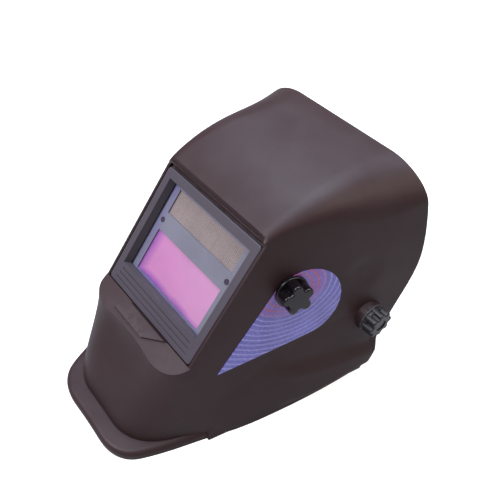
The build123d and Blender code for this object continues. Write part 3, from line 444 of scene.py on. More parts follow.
@dataclass(frozen=True)
class ClearSheet(Finish):
    """Clear polycarbonate cover plate with fine wiping scratches."""

    name: str
    tint: Colour = (0.03, 0.03, 0.035)

    def lay_out(self, sheet: NodeSheet, place: Socket) -> Socket:
        """Lay out the sheet and return its shader."""
        streaks = LIBRARY.place(sheet, LIBRARY.streaks(), Place=place, Scale=500.0)
        haze = sheet.ramp(sheet.noise(place, 30.0, 4.0), 0.3, 0.8, 0.0, 0.04)
        flat = sheet.add("ShaderNodeNewGeometry").outputs["True Normal"]
        facing = sheet.add("ShaderNodeLayerWeight", {"Normal": flat}).outputs["Facing"]
        cover = sheet.math("ADD", sheet.ramp(facing, 0.4, 1.0, 0.05, 0.7), haze)
        rough = sheet.ramp(streaks.outputs["Gloss"], 0.0, 1.0, 0.05, 0.12)
        return self.principled(
            sheet, Base_Color=opaque(self.tint), Roughness=rough, Alpha=cover, IOR=1.58, Normal=flat,
        )


@dataclass(frozen=True)
class FilterGlass(Finish):
    """Coated filter glass: pink towards the middle, violet where the coating thickens at its edges, with a painted
    glow in its own colour.
    """

    name: str
    face: ViewingFace
    low: Vector
    high: Vector
    # Strength of the painted glow: the glass emits its own colour faintly, though it is no lamp.
    lift: float = 0.1

    def lay_out(self, sheet: NodeSheet, place: Socket) -> Socket:
        """Lay out the glass and return its shader."""
        across, up = face_sockets(sheet, place, self.face)
        cloud = sheet.math("MULTIPLY", sheet.math("SUBTRACT", sheet.noise(place, 26.0, 4.0), 0.5), 0.012)
        left = sheet.ramp(sheet.math("ADD", across, cloud), self.low.x, self.low.x + 12 * MM, 1.0, 0.0)
        foot = sheet.ramp(sheet.math("ADD", up, cloud), self.low.y, self.low.y + 7 * MM, 1.0, 0.0)
        rim = sheet.math("MAXIMUM", left, foot)
        warm = sheet.ramp(sheet.math("ADD", across, up), -60 * MM, 45 * MM)
        pink = sheet.mix(warm, (0.52, 0.20, 0.42, 1.0), (0.54, 0.27, 0.45, 1.0))
        body = sheet.mix(rim, pink, (0.22, 0.06, 0.34, 1.0))
        speck = sheet.ramp(sheet.noise(place, 900.0, 2.0), 0.6, 0.75, 0.08, 0.2)
        # Painted glow: the emission lifts the pink as if the glass gave off light of its own.
        return self.principled(
            sheet, Base_Color=body, Roughness=speck, Specular_IOR_Level=0.6, Coat_Weight=0.6,
            Coat_Roughness=0.04, Emission_Color=body, Emission_Strength=self.lift,
        )


@dataclass(frozen=True)
class SolarFilm(Finish):
    """Amorphous solar strip: warm grey-brown cells under glass."""

    name: str
    face: ViewingFace
    cells: float = 15.3 * MM

    def lay_out(self, sheet: NodeSheet, place: Socket) -> Socket:
        """Lay out the strip and return its shader."""
        across, _ = face_sockets(sheet, place, self.face)
        phase = sheet.math("FRACT", sheet.math("ADD", sheet.math("DIVIDE", across, self.cells), 100.0))
        gap = sheet.ramp(sheet.math("ABSOLUTE", sheet.math("SUBTRACT", phase, 0.5)), 0.475, 0.49)
        cloud = sheet.ramp(sheet.noise(place, 45.0, 5.0), 0.35, 0.7)
        cell = sheet.mix(cloud, (0.26, 0.21, 0.20, 1.0), (0.31, 0.25, 0.235, 1.0))
        body = sheet.mix(sheet.math("MULTIPLY", gap, 0.35), cell, (0.12, 0.1, 0.12, 1.0))
        rough = sheet.ramp(cloud, 0.0, 1.0, 0.16, 0.28)
        return self.principled(sheet, Base_Color=body, Roughness=rough, Coat_Weight=0.5, Coat_Roughness=0.05)


@dataclass(frozen=True)
class CartridgeFace(Finish):
    """Grey cartridge moulding whose left and lower border is painted violet, standing in for light thrown on it by
    the coated glass.
    """

    name: str
    face: ViewingFace
    colour: Colour = (0.20, 0.20, 0.25)
    painted_glass_light: Colour = (0.15, 0.13, 0.36)

    def lay_out(self, sheet: NodeSheet, place: Socket) -> Socket:
        """Lay out the moulding and return its shader."""
        grain = LIBRARY.place(sheet, LIBRARY.mould_grain(), Place=place, Scale=1300.0)
        across, up = face_sockets(sheet, place, self.face)
        # Painted light: the left and lower border is tinted violet in place of light from the coated glass.
        left = sheet.ramp(across, -44 * MM, -50 * MM)
        foot = sheet.ramp(up, -40 * MM, -43.5 * MM)
        painted_glass_light = sheet.math("MULTIPLY", sheet.math("MAXIMUM", left, foot), 0.85)
        body = sheet.mix(painted_glass_light, opaque(self.colour), opaque(self.painted_glass_light))
        shade = sheet.mix(grain.outputs["Gloss"], body, tinted(self.colour, 0.85))
        rough = sheet.ramp(grain.outputs["Gloss"], 0.0, 1.0, 0.38, 0.5)
        return self.principled(
            sheet, Base_Color=shade, Roughness=rough,
            Normal=self.bump(sheet, grain.outputs["Height"], 0.00005),
        )


@dataclass(frozen=True)
class PrintedFilm(Finish):
    """Glossy printed film: rings spreading round the shade control, warm near it and blue-violet beyond."""

    name: str
    centre: Vector
    pitch: float = 5.4 * MM
    warm_reach: float = 26 * MM

    def lay_out(self, sheet: NodeSheet, place: Socket) -> Socket:
        """Lay out the print and return its shader."""
        local = sheet.vector("SUBTRACT", place, tuple(self.centre)).outputs[0]
        stretched = sheet.vector("MULTIPLY", local, (1.0, 0.86, 1.16)).outputs[0]
        reach = sheet.vector("LENGTH", stretched).outputs[1]
        waver = sheet.math("MULTIPLY", sheet.math("SUBTRACT", sheet.noise(place, 34.0, 2.0), 0.5), 3.2 * MM)
        bent = sheet.math("ADD", reach, waver)
        ring = sheet.math("SINE", sheet.math("MULTIPLY", bent, math.tau / self.pitch))
        fine = sheet.math("SINE", sheet.math("MULTIPLY", bent, math.tau / (0.43 * self.pitch)))
        line = sheet.ramp(ring, 0.15, 0.8)
        thin = sheet.ramp(fine, 0.3, 0.95, 0.0, 0.6)
        warm = sheet.ramp(bent, self.warm_reach, self.warm_reach + 5 * MM, 1.0, 0.0)
        blue = sheet.mix(line, (0.10, 0.095, 0.38, 1.0), (0.23, 0.22, 0.58, 1.0))
        blue = sheet.mix(thin, blue, (0.08, 0.07, 0.25, 1.0))
        mauve = sheet.mix(line, (0.17, 0.09, 0.38, 1.0), (0.30, 0.07, 0.17, 1.0))
        body = sheet.mix(warm, blue, mauve)
        patch = sheet.ramp(sheet.noise(place, 60.0, 3.0), 0.4, 0.7, 0.0, 0.35)
        body = sheet.mix(patch, body, (0.2, 0.2, 0.6, 1.0))
        scuff = sheet.ramp(sheet.noise(place, 420.0, 5.0), 0.5, 0.8, 0.24, 0.4)
        return self.principled(sheet, Base_Color=body, Roughness=scuff, Coat_Weight=0.3, Coat_Roughness=0.15)


@dataclass(frozen=True)
class BoardLacquer(Finish):
    """Green solder resist over etched copper tracks."""

    name: str

    def lay_out(self, sheet: NodeSheet, place: Socket) -> Socket:
        """Lay out the lacquer and return its shader."""
        inputs = {"Vector": place, "Scale": 520.0}
        bricks = sheet.add("ShaderNodeTexBrick", inputs, offset=0.5).outputs[1]
        track = sheet.ramp(bricks, 0.4, 0.6)
        body = sheet.mix(track, (0.012, 0.12, 0.05, 1.0), (0.03, 0.22, 0.09, 1.0))
        normal = self.bump(sheet, track, 0.00004)
        return self.principled(sheet, Base_Color=body, Roughness=0.32, Normal=normal)


@dataclass(frozen=True)
class SoftRubber(Finish):
    """Closed-cell foam or cable rubber, with painted shade in the pits of its cells."""

    name: str
    colour: Colour
    pores: float = 1500.0

    def lay_out(self, sheet: NodeSheet, place: Socket) -> Socket:
        """Lay out the rubber and return its shader."""
        cells = sheet.add("ShaderNodeTexVoronoi", {"Vector": place, "Scale": self.pores}).outputs[0]
        # Painted shade: the cells' pits are darker and their raised walls lighter.
        body = sheet.mix(sheet.ramp(cells, 0.2, 0.9), opaque(self.colour), tinted(self.colour, 1.8))
        rough = sheet.ramp(cells, 0.0, 1.0, 0.62, 0.82)
        return self.principled(
            sheet, Base_Color=body, Roughness=rough, Normal=self.bump(sheet, cells, 0.00012),
        )


@dataclass(frozen=True)
class PadCloth(Finish):
    """Knitted pad cover with fuzz, a soft sheen and painted shade in the hollows of its weave."""

    name: str
    colour: Colour = (0.035, 0.035, 0.04)

    def lay_out(self, sheet: NodeSheet, place: Socket) -> Socket:
        """Lay out the cloth and return its shader."""
        weave = LIBRARY.place(sheet, LIBRARY.weave(), Place=place)
        worn = sheet.ramp(sheet.noise(place, 55.0, 5.0), 0.45, 0.75, 0.0, 0.5)
        # Painted shade: the weave's hollows are darkened and its raised threads lightened.
        body = sheet.mix(weave.outputs["Shade"], opaque(self.colour), tinted(self.colour, 2.1))
        body = sheet.mix(worn, body, tinted(self.colour, 1.5))
        return self.principled(
            sheet, Base_Color=body, Roughness=sheet.ramp(worn, 0.0, 0.5, 0.82, 0.92),
            Sheen_Weight=0.35, Sheen_Roughness=0.45,
            Normal=self.bump(sheet, weave.outputs["Height"], 0.00025),
        )


BLACK_WORN: Colour = (0.11, 0.105, 0.11)
SHELL_PLASTIC = MouldedPlastic(
    "shell_moulding", (0.022, 0.008, 0.009), (0.07, 0.06, 0.065), roughness=0.5, specular=0.3, dust=0.05,
)
BEZEL_PLASTIC = MouldedPlastic(
    "bezel_moulding", (0.050, 0.042, 0.053), BLACK_WORN, roughness=0.47, grain=1200.0, dust=0.05,
    specular=0.35,
)
KNOB_GLOSS = MouldedPlastic(
    "shade_knob_gloss", (0.004, 0.003, 0.004), (0.04, 0.04, 0.04), roughness=0.2, depth=0.00002,
    wear=0.2, dust=0.0, specular=0.3, coat=0.25,
)
KNOB_SATIN = MouldedPlastic(
    "tension_knob_satin", (0.011, 0.009, 0.011), BLACK_WORN, roughness=0.4, wear=0.4, dust=0.08, specular=0.4,
)
CONTROL_PLASTIC = MouldedPlastic("control_plastic", (0.02, 0.02, 0.022), BLACK_WORN, roughness=0.38)
WASHER_NYLON = MouldedPlastic("washer_nylon", (0.045, 0.04, 0.045), BLACK_WORN, roughness=0.55)
HEADGEAR_NYLON = MouldedPlastic(
    "headgear_nylon", (0.028, 0.028, 0.030), (0.09, 0.09, 0.09), roughness=0.42, grain=700.0, dust=0.06,
)
REAR_CASE = MouldedPlastic("cartridge_rear_moulding", (0.05, 0.05, 0.055), BLACK_WORN, roughness=0.45)
SENSOR_EYE = MouldedPlastic(
    "sensor_eye_gloss", (0.05, 0.03, 0.07), BLACK_WORN, roughness=0.12, depth=0.00001, wear=0.0, dust=0.0,
    coat=1.0,
)
PLATED_STEEL = BareMetal("plated_steel", (0.62, 0.62, 0.63))
SPRING_STEEL = BareMetal("spring_steel", (0.55, 0.55, 0.57), 0.2)
POT_METAL = BareMetal("potentiometer_metal", (0.6, 0.6, 0.61), 0.32)
CELL_STEEL = BareMetal("coin_cell_steel", (0.68, 0.68, 0.68), 0.25)
BRASS = BareMetal("insert_brass", (0.68, 0.49, 0.2), 0.3)
RIVET_METAL = BareMetal("rivet_aluminium", (0.66, 0.66, 0.68), 0.34)
CLEAR_LENS = ClearSheet("cover_plate")
GASKET_FOAM = SoftRubber("gasket_foam", (0.02, 0.02, 0.02))
LEAD_RUBBER = SoftRubber("lead_rubber", (0.012, 0.012, 0.013), 900.0)
PAD_CLOTH = PadCloth("pad_cloth")
THREAD = SoftRubber("seam_thread", (0.05, 0.05, 0.055), 3000.0)


# ---------------------------------------------------------------- mesh work
class MeshWork:
    """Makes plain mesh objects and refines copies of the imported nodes."""

    @staticmethod
    def piece(name: str, points: Sequence[Vector], faces: Sequence[Sequence[int]] = (),
              edges: Sequence[Sequence[int]] = ()) -> Thing:
        """Make a mesh object in the helmet's frame from points, faces and edges."""
        mesh = bpy.data.meshes.new(name)
        mesh.from_pydata([tuple(point) for point in points], edges, faces)
        return linked(name, mesh)

    @staticmethod
    def merged_copy(node: str, name: str) -> Thing:
        """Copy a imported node's mesh and merge its loose triangles into one skin."""
        copy = linked(name, frame["nodes"][node].data.copy())
        copy.data.materials.clear()
        sketch = bmesh.new()
        sketch.from_mesh(copy.data)
        bmesh.ops.remove_doubles(sketch, verts=sketch.verts, dist=0.02 * MM)
        bmesh.ops.dissolve_degenerate(sketch, edges=sketch.edges, dist=0.02 * MM)
        bmesh.ops.triangulate(sketch, faces=sketch.faces)
        bmesh.ops.recalc_face_normals(sketch, faces=sketch.faces)
        sketch.to_mesh(copy.data)
        sketch.free()
        if "custom_normal" in copy.data.attributes:
            copy.data.attributes.remove(copy.data.attributes["custom_normal"])
        return copy

    @staticmethod
    def refine(piece: Thing, longest: float, where: Callable[[np.ndarray], np.ndarray],
               rounds: int = 6) -> None:
        """Split long edges at their middles, so that neighbouring faces still share every edge.

        Args:
            piece: The mesh to refine; its faces are triangles.
            longest: Edges above this length are split.
            where: Tells, for rows of edge middles, which ones may be split.
            rounds: The most times that the whole skin is gone over.
        """
        points = MeshWork.points(piece)
        flat = np.zeros(len(piece.data.loops), dtype=np.int32)
        piece.data.loops.foreach_get("vertex_index", flat)
        faces = flat.reshape(-1, 3)
        for _ in range(rounds):
            sides = np.sort(np.stack((faces, np.roll(faces, -1, axis=1)), axis=2).reshape(-1, 2), axis=1)
            edges, found = np.unique(sides, axis=0, return_inverse=True)
            ends = points[edges]
            middles = ends.mean(axis=1)
            chosen = (np.linalg.norm(ends[:, 0] - ends[:, 1], axis=1) > longest) & where(middles)
            if not chosen.any():
                break
            numbers = np.where(chosen, len(points) + np.cumsum(chosen) - 1, -1)
            points = np.concatenate((points, middles[chosen]))
            faces = MeshWork.split(faces, numbers[found.reshape(-1)].reshape(-1, 3))
        mesh = bpy.data.meshes.new(piece.name)
        mesh.from_pydata(points.tolist(), [], faces.tolist())
        piece.data = mesh

    @staticmethod
    def split(faces: np.ndarray, middles: np.ndarray) -> np.ndarray:
        """Return triangles cut at their edge middles; a middle of -1 leaves that edge whole."""
        whole = (middles < 0).all(axis=1)
        parts = faces[whole].tolist()
        for (a, b, c), (ab, bc, ca) in zip(faces[~whole].tolist(), middles[~whole].tolist()):
            while ab < 0 or (ca >= 0 and bc < 0):
                a, b, c, ab, bc, ca = b, c, a, bc, ca, ab
            if bc < 0:
                parts += [[a, ab, c], [ab, b, c]]
            elif ca < 0:
                parts += [[a, ab, c], [ab, b, bc], [ab, bc, c]]
            else:
                parts += [[a, ab, ca], [ab, b, bc], [ca, bc, c], [ab, bc, ca]]
        return np.array(parts, dtype=np.int64)

    @staticmethod
    def points(piece: Thing, measure: str = "co") -> np.ndarray:
        """Return a mesh's vertices, or another measure of them such as their normals, as rows."""
        flat = np.zeros(len(piece.data.vertices) * 3)
        piece.data.vertices.foreach_get(measure, flat)
        return flat.reshape(-1, 3)

    @staticmethod
    def set_points(piece: Thing, points: np.ndarray) -> None:
        """Move a mesh's vertices to the given rows."""
        piece.data.vertices.foreach_set("co", points.ravel())
        piece.data.update()

    @staticmethod
    def relax(piece: Thing, weight: Callable[[np.ndarray], np.ndarray], rounds: int) -> None:
        """Smooth a skin where the weight is above 0.

        Args:
            piece: The mesh to smooth.
            weight: Gives each vertex a share from 0 to 1 of the way to its neighbours' middle.
            rounds: How many times to smooth.
        """
        points = MeshWork.points(piece)
        ends = np.zeros(len(piece.data.edges) * 2, dtype=int)
        piece.data.edges.foreach_get("vertices", ends)
        ends = ends.reshape(-1, 2)
        share = weight(points)[:, None]
        used = (share[ends[:, 0], 0] > 0) | (share[ends[:, 1], 0] > 0)
        ends = ends[used]
        count = np.zeros(len(points))
        np.add.at(count, ends[:, 0], 1)
        np.add.at(count, ends[:, 1], 1)
        count = np.maximum(count, 1)[:, None]
        for _ in range(rounds):
            total = np.zeros_like(points)
            np.add.at(total, ends[:, 0], points[ends[:, 1]])
            np.add.at(total, ends[:, 1], points[ends[:, 0]])
            points += share * (total / count - points)
        MeshWork.set_points(piece, points)

    @staticmethod
    def evaluated(piece: Thing) -> bpy.types.Mesh:
        """Return the mesh that a piece's modifiers end in."""
        graph = bpy.context.evaluated_depsgraph_get()
        return bpy.data.meshes.new_from_object(piece.evaluated_get(graph))

    @staticmethod
    def shade(piece: Thing, sharp_degrees: float = 32.0) -> None:
        """Shade a mesh smooth, and keep the edges that turn further than an angle crisp."""
        piece.data.shade_smooth()
        piece.data.set_sharp_from_angle(angle=math.radians(sharp_degrees))


def dress(node: str, finish: Finish) -> None:
    """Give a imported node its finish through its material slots."""
    thing = frame["nodes"][node]
    if not thing.material_slots:
        thing.data.materials.append(finish.material())
    for slot in thing.material_slots:
        slot.material = finish.material()
    LOG.info("%s: %s", node, finish.name)


def dress_all(finishes: dict[str, Finish]) -> None:
    """Give each named node its finish."""
    for node, finish in finishes.items():
        dress(node, finish)


def hand_over(piece: Thing, body: str, slot: str, finish: Finish, *replaced: str) -> None:
    """Finish a new piece: its material, body and the nodes that it stands for."""
    piece.data.materials.clear()
    piece.data.materials.append(finish.material())
    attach(piece, body)
    if replaced:
        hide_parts(*replaced)
    LOG.info("%s: %d faces on %s", piece.name, len(piece.data.polygons), body)


# ---------------------------------------------------------------- repeating pieces
class Layout(Enum):
    """How a run of small pieces is spaced along its path."""

    COUNT = "COUNT"
    LENGTH = "LENGTH"


class Recipe:
    """A Geometry Nodes tree that makes small blocks from a carrier mesh."""

    def __init__(self, name: str, inputs: dict[str, str]) -> None:
        """Start the tree.

        Args:
            name: The tree's name.
            inputs: Input names with the last part of their socket types.
        """
        self.tree = bpy.data.node_groups.new(name, "GeometryNodeTree")
        sockets = {"Geometry": "Geometry", **inputs, "Turn": "Vector", "Material": "Material"}
        for label, kind in sockets.items():
            self.tree.interface.new_socket(label, in_out="INPUT", socket_type=f"NodeSocket{kind}")
        self.tree.interface.new_socket("Geometry", in_out="OUTPUT", socket_type="NodeSocketGeometry")
        self.sheet = NodeSheet(self.tree)
        self.given = self.sheet.add("NodeGroupInput").outputs

    def fixed_turn(self) -> Socket:
        """Return the one turn that every block takes."""
        return self.sheet.add("FunctionNodeEulerToRotation", {0: self.given["Turn"]}).outputs[0]

    def close(self, points: Any, part: Any, turn: Any, scale: Any) -> None:
        """Lay the part on the points, make the result real and give it its material."""
        laid = self.sheet.add("GeometryNodeInstanceOnPoints", {
            "Points": points, "Instance": part, "Rotation": turn, "Scale": scale,
        })
        real = self.sheet.add("GeometryNodeRealizeInstances", {0: laid.outputs[0]}).outputs[0]
        dressed = self.sheet.add("GeometryNodeSetMaterial", {0: real, "Material": self.given["Material"]})
        self.sheet.add("NodeGroupOutput", {0: dressed.outputs[0]})

    def made_from(self, name: str, carrier: Thing, finish: Finish, **values: Any) -> Thing:
        """Run the tree on a carrier and return the result as one plain mesh.

        Args:
            name: The new piece's name.
            carrier: What the tree starts from; it is used up.
            finish: What the blocks are made of.
            **values: The tree's own inputs.

        Returns:
            The finished mesh object.
        """
        modifier = carrier.modifiers.new("recipe", "NODES")
        modifier.node_group = self.tree
        values["Material"] = finish.material()
        for item in self.tree.interface.items_tree:
            if item.in_out == "INPUT" and item.name in values:
                modifier[item.identifier] = values[item.name]
        mesh = MeshWork.evaluated(carrier)
        bpy.data.objects.remove(carrier)
        return linked(name, mesh)


class RunRecipe(Recipe):
    """Lays small pieces along the carrier's line."""

    def __init__(self, name: str, layout: Layout, bead: bool) -> None:
        """Build the tree.

        Args:
            name: The tree's name.
            layout: Whether the spacing or the number of pieces is set.
            bead: Round beads along the path if true, or blocks turned by one fixed angle.
        """
        super().__init__(name, {"Number": "Int", "Spacing": "Float", "Size": "Vector"})
        sheet, given = self.sheet, self.given
        curve = sheet.add("GeometryNodeMeshToCurve", {0: given["Geometry"]}).outputs[0]
        spaced = sheet.add("GeometryNodeCurveToPoints", {0: curve}, mode=layout.value)
        if layout is Layout.COUNT:
            sheet.tree.links.new(given["Number"], spaced.inputs["Count"])
        else:
            sheet.tree.links.new(given["Spacing"], spaced.inputs["Length"])
        if bead:
            ball = {"Segments": 8, "Rings": 6, "Radius": 0.5}
            part = sheet.add("GeometryNodeMeshUVSphere", ball).outputs[0]
            turn = spaced.outputs["Rotation"]
        else:
            part = sheet.add("GeometryNodeMeshCube", {"Size": (1.0, 1.0, 1.0)}).outputs[0]
            turn = self.fixed_turn()
        self.close(spaced.outputs[0], part, turn, given["Size"])

    def run(self, name: str, line: Sequence[Vector], finish: Finish, **values: Any) -> Thing:
        """Lay pieces along a line and return them as one plain mesh."""
        edges = [(index, index + 1) for index in range(len(line) - 1)]
        return self.made_from(name, MeshWork.piece(f"{name}_line", line, edges=edges), finish, **values)


class ScatterRecipe(Recipe):
    """Seats small blocks over the carrier's face."""

    def __init__(self, name: str, seed: int, densest: float = 60000.0) -> None:
        """Build the tree with its fixed seed and the most points for each square metre."""
        super().__init__(name, {"Apart": "Float", "Smallest": "Vector", "Largest": "Vector"})
        sheet, given = self.sheet, self.given
        spread = sheet.add(
            "GeometryNodeDistributePointsOnFaces", {"Mesh": given["Geometry"], "Seed": seed},
            distribute_method="POISSON",
        )
        sheet.tree.links.new(given["Apart"], spread.inputs["Distance Min"])
        spread.inputs["Density Max"].default_value = densest
        block = sheet.add("GeometryNodeMeshCube", {"Size": (1.0, 1.0, 1.0)}).outputs[0]
        size = sheet.add("FunctionNodeRandomValue", {
            0: given["Smallest"], 1: given["Largest"], "Seed": seed + 1,
        }, data_type="FLOAT_VECTOR")
        self.close(spread.outputs[0], block, self.fixed_turn(), size.outputs[0])

    def run(self, name: str, corners: Sequence[Vector], finish: Finish, **values: Any) -> Thing:
        """Seat blocks over a four-cornered field and return them as one plain mesh."""
        field_mesh = MeshWork.piece(f"{name}_field", corners, faces=[(0, 1, 2, 3)])
        return self.made_from(name, field_mesh, finish, **values)


# ---------------------------------------------------------------- studio
@dataclass(frozen=True)
class SoftLight:
    """One square area light."""

    name: str
    place: tuple[float, float, float]
    size: float
    watts: float
    colour: Colour

    def hang(self, target: Vector) -> None:
        """Hang the light at its place, turned to its target."""
        data = bpy.data.lights.new(self.name, "AREA")
        data.shape = "SQUARE"
        data.size = self.size
        data.energy = self.watts
        data.color = self.colour
        light = linked(self.name, data)
        light.location = self.place
        light.rotation_euler = (target - Vector(self.place)).to_track_quat("-Z", "Y").to_euler()


LIGHTS = (
    SoftLight("overhead", (-0.25, 0.45, 1.35), size=1.1, watts=30.0, colour=(0.74, 0.84, 1.0)),
    SoftLight("side_fill", (0.9, 0.8, 1.1), size=0.7, watts=7.0, colour=(1.0, 0.84, 0.70)),
    SoftLight("front_fill", (-0.35, -0.95, 1.45), size=0.9, watts=32.0, colour=(0.9, 0.9, 1.0)),
)


@dataclass
class Studio:
    """Pale floor, soft lights and the camera."""

    camera_place: tuple[float, float, float] = (0.3039, -0.2364, 0.5189)
    azimuth: float = math.radians(51.19)
    elevation: float = math.radians(46.77)
    lens_mm: float = 43.2
    floor_half: float = 3.0
    lit_point: tuple[float, float, float] = (0.0, 0.0, 0.12)

    def build(self) -> None:
        """Build the camera, the floor and the lights."""
        self.build_camera()
        self.build_floor()
        self.build_lights()
        LOG.info("studio: camera, floor and lights")

    def build_camera(self) -> None:
        """Set the camera at its place, looking down at the window and the wearer's left side."""
        data = bpy.data.cameras.new("camera")
        data.lens = self.lens_mm
        data.sensor_width = 36.0
        data.clip_start = 0.01
        camera = linked("camera", data)
        camera.location = self.camera_place
        camera.rotation_euler = (math.pi / 2 - self.elevation, 0.0, self.azimuth)
        bpy.context.scene.camera = camera

    def build_floor(self) -> None:
        """Lay a pale floor that fades to white."""
        half = self.floor_half
        corners = [Vector((x * half, y * half, 0.0)) for x, y in ((-1, -1), (1, -1), (1, 1), (-1, 1))]
        floor = MeshWork.piece("floor", corners, faces=[(0, 1, 2, 3)])
        floor.data.materials.append(self.floor_material())
        floor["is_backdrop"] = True

    def floor_material(self) -> bpy.types.Material:
        """Return the floor's white, lifted a little where the camera looks at it."""
        material = bpy.data.materials.new("floor_white")
        sheet = blank_sheet(material)
        seen = sheet.add("ShaderNodeLightPath").outputs["Is Camera Ray"]
        lift = sheet.math("MULTIPLY", seen, 0.85)
        shader = sheet.add("ShaderNodeBsdfPrincipled", {
            "Base Color": (0.45, 0.45, 0.45, 1.0), "Roughness": 0.9, "Specular IOR Level": 0.1,
            "Emission Color": (1.0, 1.0, 1.0, 1.0), "Emission Strength": lift,
        })
        sheet.add("ShaderNodeOutputMaterial", {0: shader.outputs[0]})
        return material

    def build_lights(self) -> None:
        """Light the crown cool from above and behind, and the side weakly from the right."""
        world = bpy.data.worlds.new("studio")
        sheet = blank_sheet(world)
        seen = sheet.add("ShaderNodeLightPath").outputs["Is Camera Ray"]
        strength = sheet.ramp(seen, 0.0, 1.0, 0.42, 1.15)
        background = sheet.add("ShaderNodeBackground", {0: (1.0, 0.92, 0.92, 1.0), 1: strength})
        sheet.add("ShaderNodeOutputWorld", {0: background.outputs[0]})
        bpy.context.scene.world = world
        bpy.context.scene.view_settings.view_transform = "Standard"
        for light in LIGHTS:
            light.hang(Vector(self.lit_point))


# ---------------------------------------------------------------- shell
@dataclass
class Shell:
    """The one-piece moulding, with its soft dish, flared shoulder and blended throat."""

    face: ViewingFace
    edge: float = 3.4 * MM
    groove_level: float = 58.5 * MM
    groove_half: float = 4.5 * MM
    groove_depth: float = 3.5 * MM
    groove_ends: tuple[float, float] = (68 * MM, 58 * MM)
    groove_outer: tuple[float, float] = (-10 * MM, -4 * MM)
    brow_reach: float = 8 * MM
    brow_depth: float = 12 * MM
    throat_fade: float = 12 * MM
    throat_side: float = 8 * MM
    throat_foot: float = 14 * MM
    rim_clear: tuple[float, float] = (11 * MM, 16 * MM)
    throat_share: float = 0.6
    throat_rounds: int = 60
    throat_y: tuple[float, float] = (-128 * MM, -84 * MM)
    throat_half: float = 62 * MM
    throat_top: float = 84 * MM
    dish_centre: tuple[float, float] = (55 * MM, 124 * MM)
    dish_radius: float = 24 * MM
    dish_depth: float = 1.5 * MM
    shoulder_rise: float = 6.5 * MM
    shoulder_start: tuple[float, float] = (-14 * MM, 50 * MM)
    shoulder_end: tuple[float, float] = (59 * MM, 34 * MM)
    shoulder_band: tuple[float, float] = (7 * MM, -9 * MM)
    shoulder_lead: tuple[float, float] = (-40 * MM, 12 * MM)
    shoulder_fade: float = 16 * MM
    shoulder_out: tuple[float, float] = (80 * MM, 90 * MM)

    def build(self) -> None:
        """Build the shell's skin."""
        skin = MeshWork.merged_copy("helmet_shell", "shell_moulding_skin")
        MeshWork.refine(skin, self.edge, self.is_worked)
        MeshWork.relax(skin, self.throat_weight, self.throat_rounds)
        points = MeshWork.points(skin)
        side = np.sign(points[:, 0])
        points[:, 0] -= side * self.dish(points)
        points[:, 0] += side * self.shoulder(points)
        points -= self.groove(points)[:, None] * np.array(self.face.out)
        MeshWork.set_points(skin, points)
        MeshWork.shade(skin)
        hand_over(skin, "shell", "shell_plastic", SHELL_PLASTIC, "helmet_shell")

    def is_worked(self, points: np.ndarray) -> np.ndarray:
        """Tell which points lie where the skin's shape is worked on: both sides and the brow."""
        _, level, depth = self.face.measure(points)
        brow = (np.abs(level - self.groove_level) < self.brow_reach) & (depth > -self.brow_depth)
        return (np.abs(points[:, 0]) > self.throat_half - self.throat_fade) | brow

    def throat_weight(self, points: np.ndarray) -> np.ndarray:
        """Return how strongly each point is smoothed where the chin runs into the sides."""
        along = smooth_step(points[:, 1], self.throat_y[0], self.throat_y[0] + self.throat_fade)
        along *= smooth_step(points[:, 1], self.throat_y[1], self.throat_y[1] - self.throat_fade)
        out = smooth_step(np.abs(points[:, 0]), self.throat_half, self.throat_half + self.throat_side)
        low = smooth_step(points[:, 2], self.throat_top, self.throat_top - self.throat_foot)
        clear_of_rim = smooth_step(points[:, 2], *self.rim_clear)
        return self.throat_share * along * out * low * clear_of_rim

    def dish(self, points: np.ndarray) -> np.ndarray:
        """Return the depth of the soft dish behind the label."""
        reach = np.hypot(points[:, 1] - self.dish_centre[0], points[:, 2] - self.dish_centre[1])
        return self.dish_depth * smooth_step(reach, self.dish_radius, 0.25 * self.dish_radius)

    def groove(self, points: np.ndarray) -> np.ndarray:
        """Return the depth of the V-groove between the bezel and the brow."""
        _, level, depth = self.face.measure(points)
        across = 1.0 - np.clip(np.abs(level - self.groove_level) / self.groove_half, 0.0, 1.0)
        ends = smooth_step(np.abs(points[:, 0]), *self.groove_ends)
        outer = smooth_step(depth, *self.groove_outer)
        return self.groove_depth * across * ends * outer

    def shoulder(self, points: np.ndarray) -> np.ndarray:
        """Return how far the flared shoulder stands out along the lower side."""
        run = (points[:, 1] - self.shoulder_start[0]) / (self.shoulder_end[0] - self.shoulder_start[0])
        crest = self.shoulder_start[1] + run * (self.shoulder_end[1] - self.shoulder_start[1])
        below = smooth_step(points[:, 2], *(crest + edge for edge in self.shoulder_band))
        fade = smooth_step(points[:, 2], 0.0, self.shoulder_fade)
        lead = (self.shoulder_start[0] + edge for edge in self.shoulder_lead)
        start = smooth_step(points[:, 1], *lead)
        out = smooth_step(np.abs(points[:, 0]), *self.shoulder_out)
        return self.shoulder_rise * below * fade * start * out


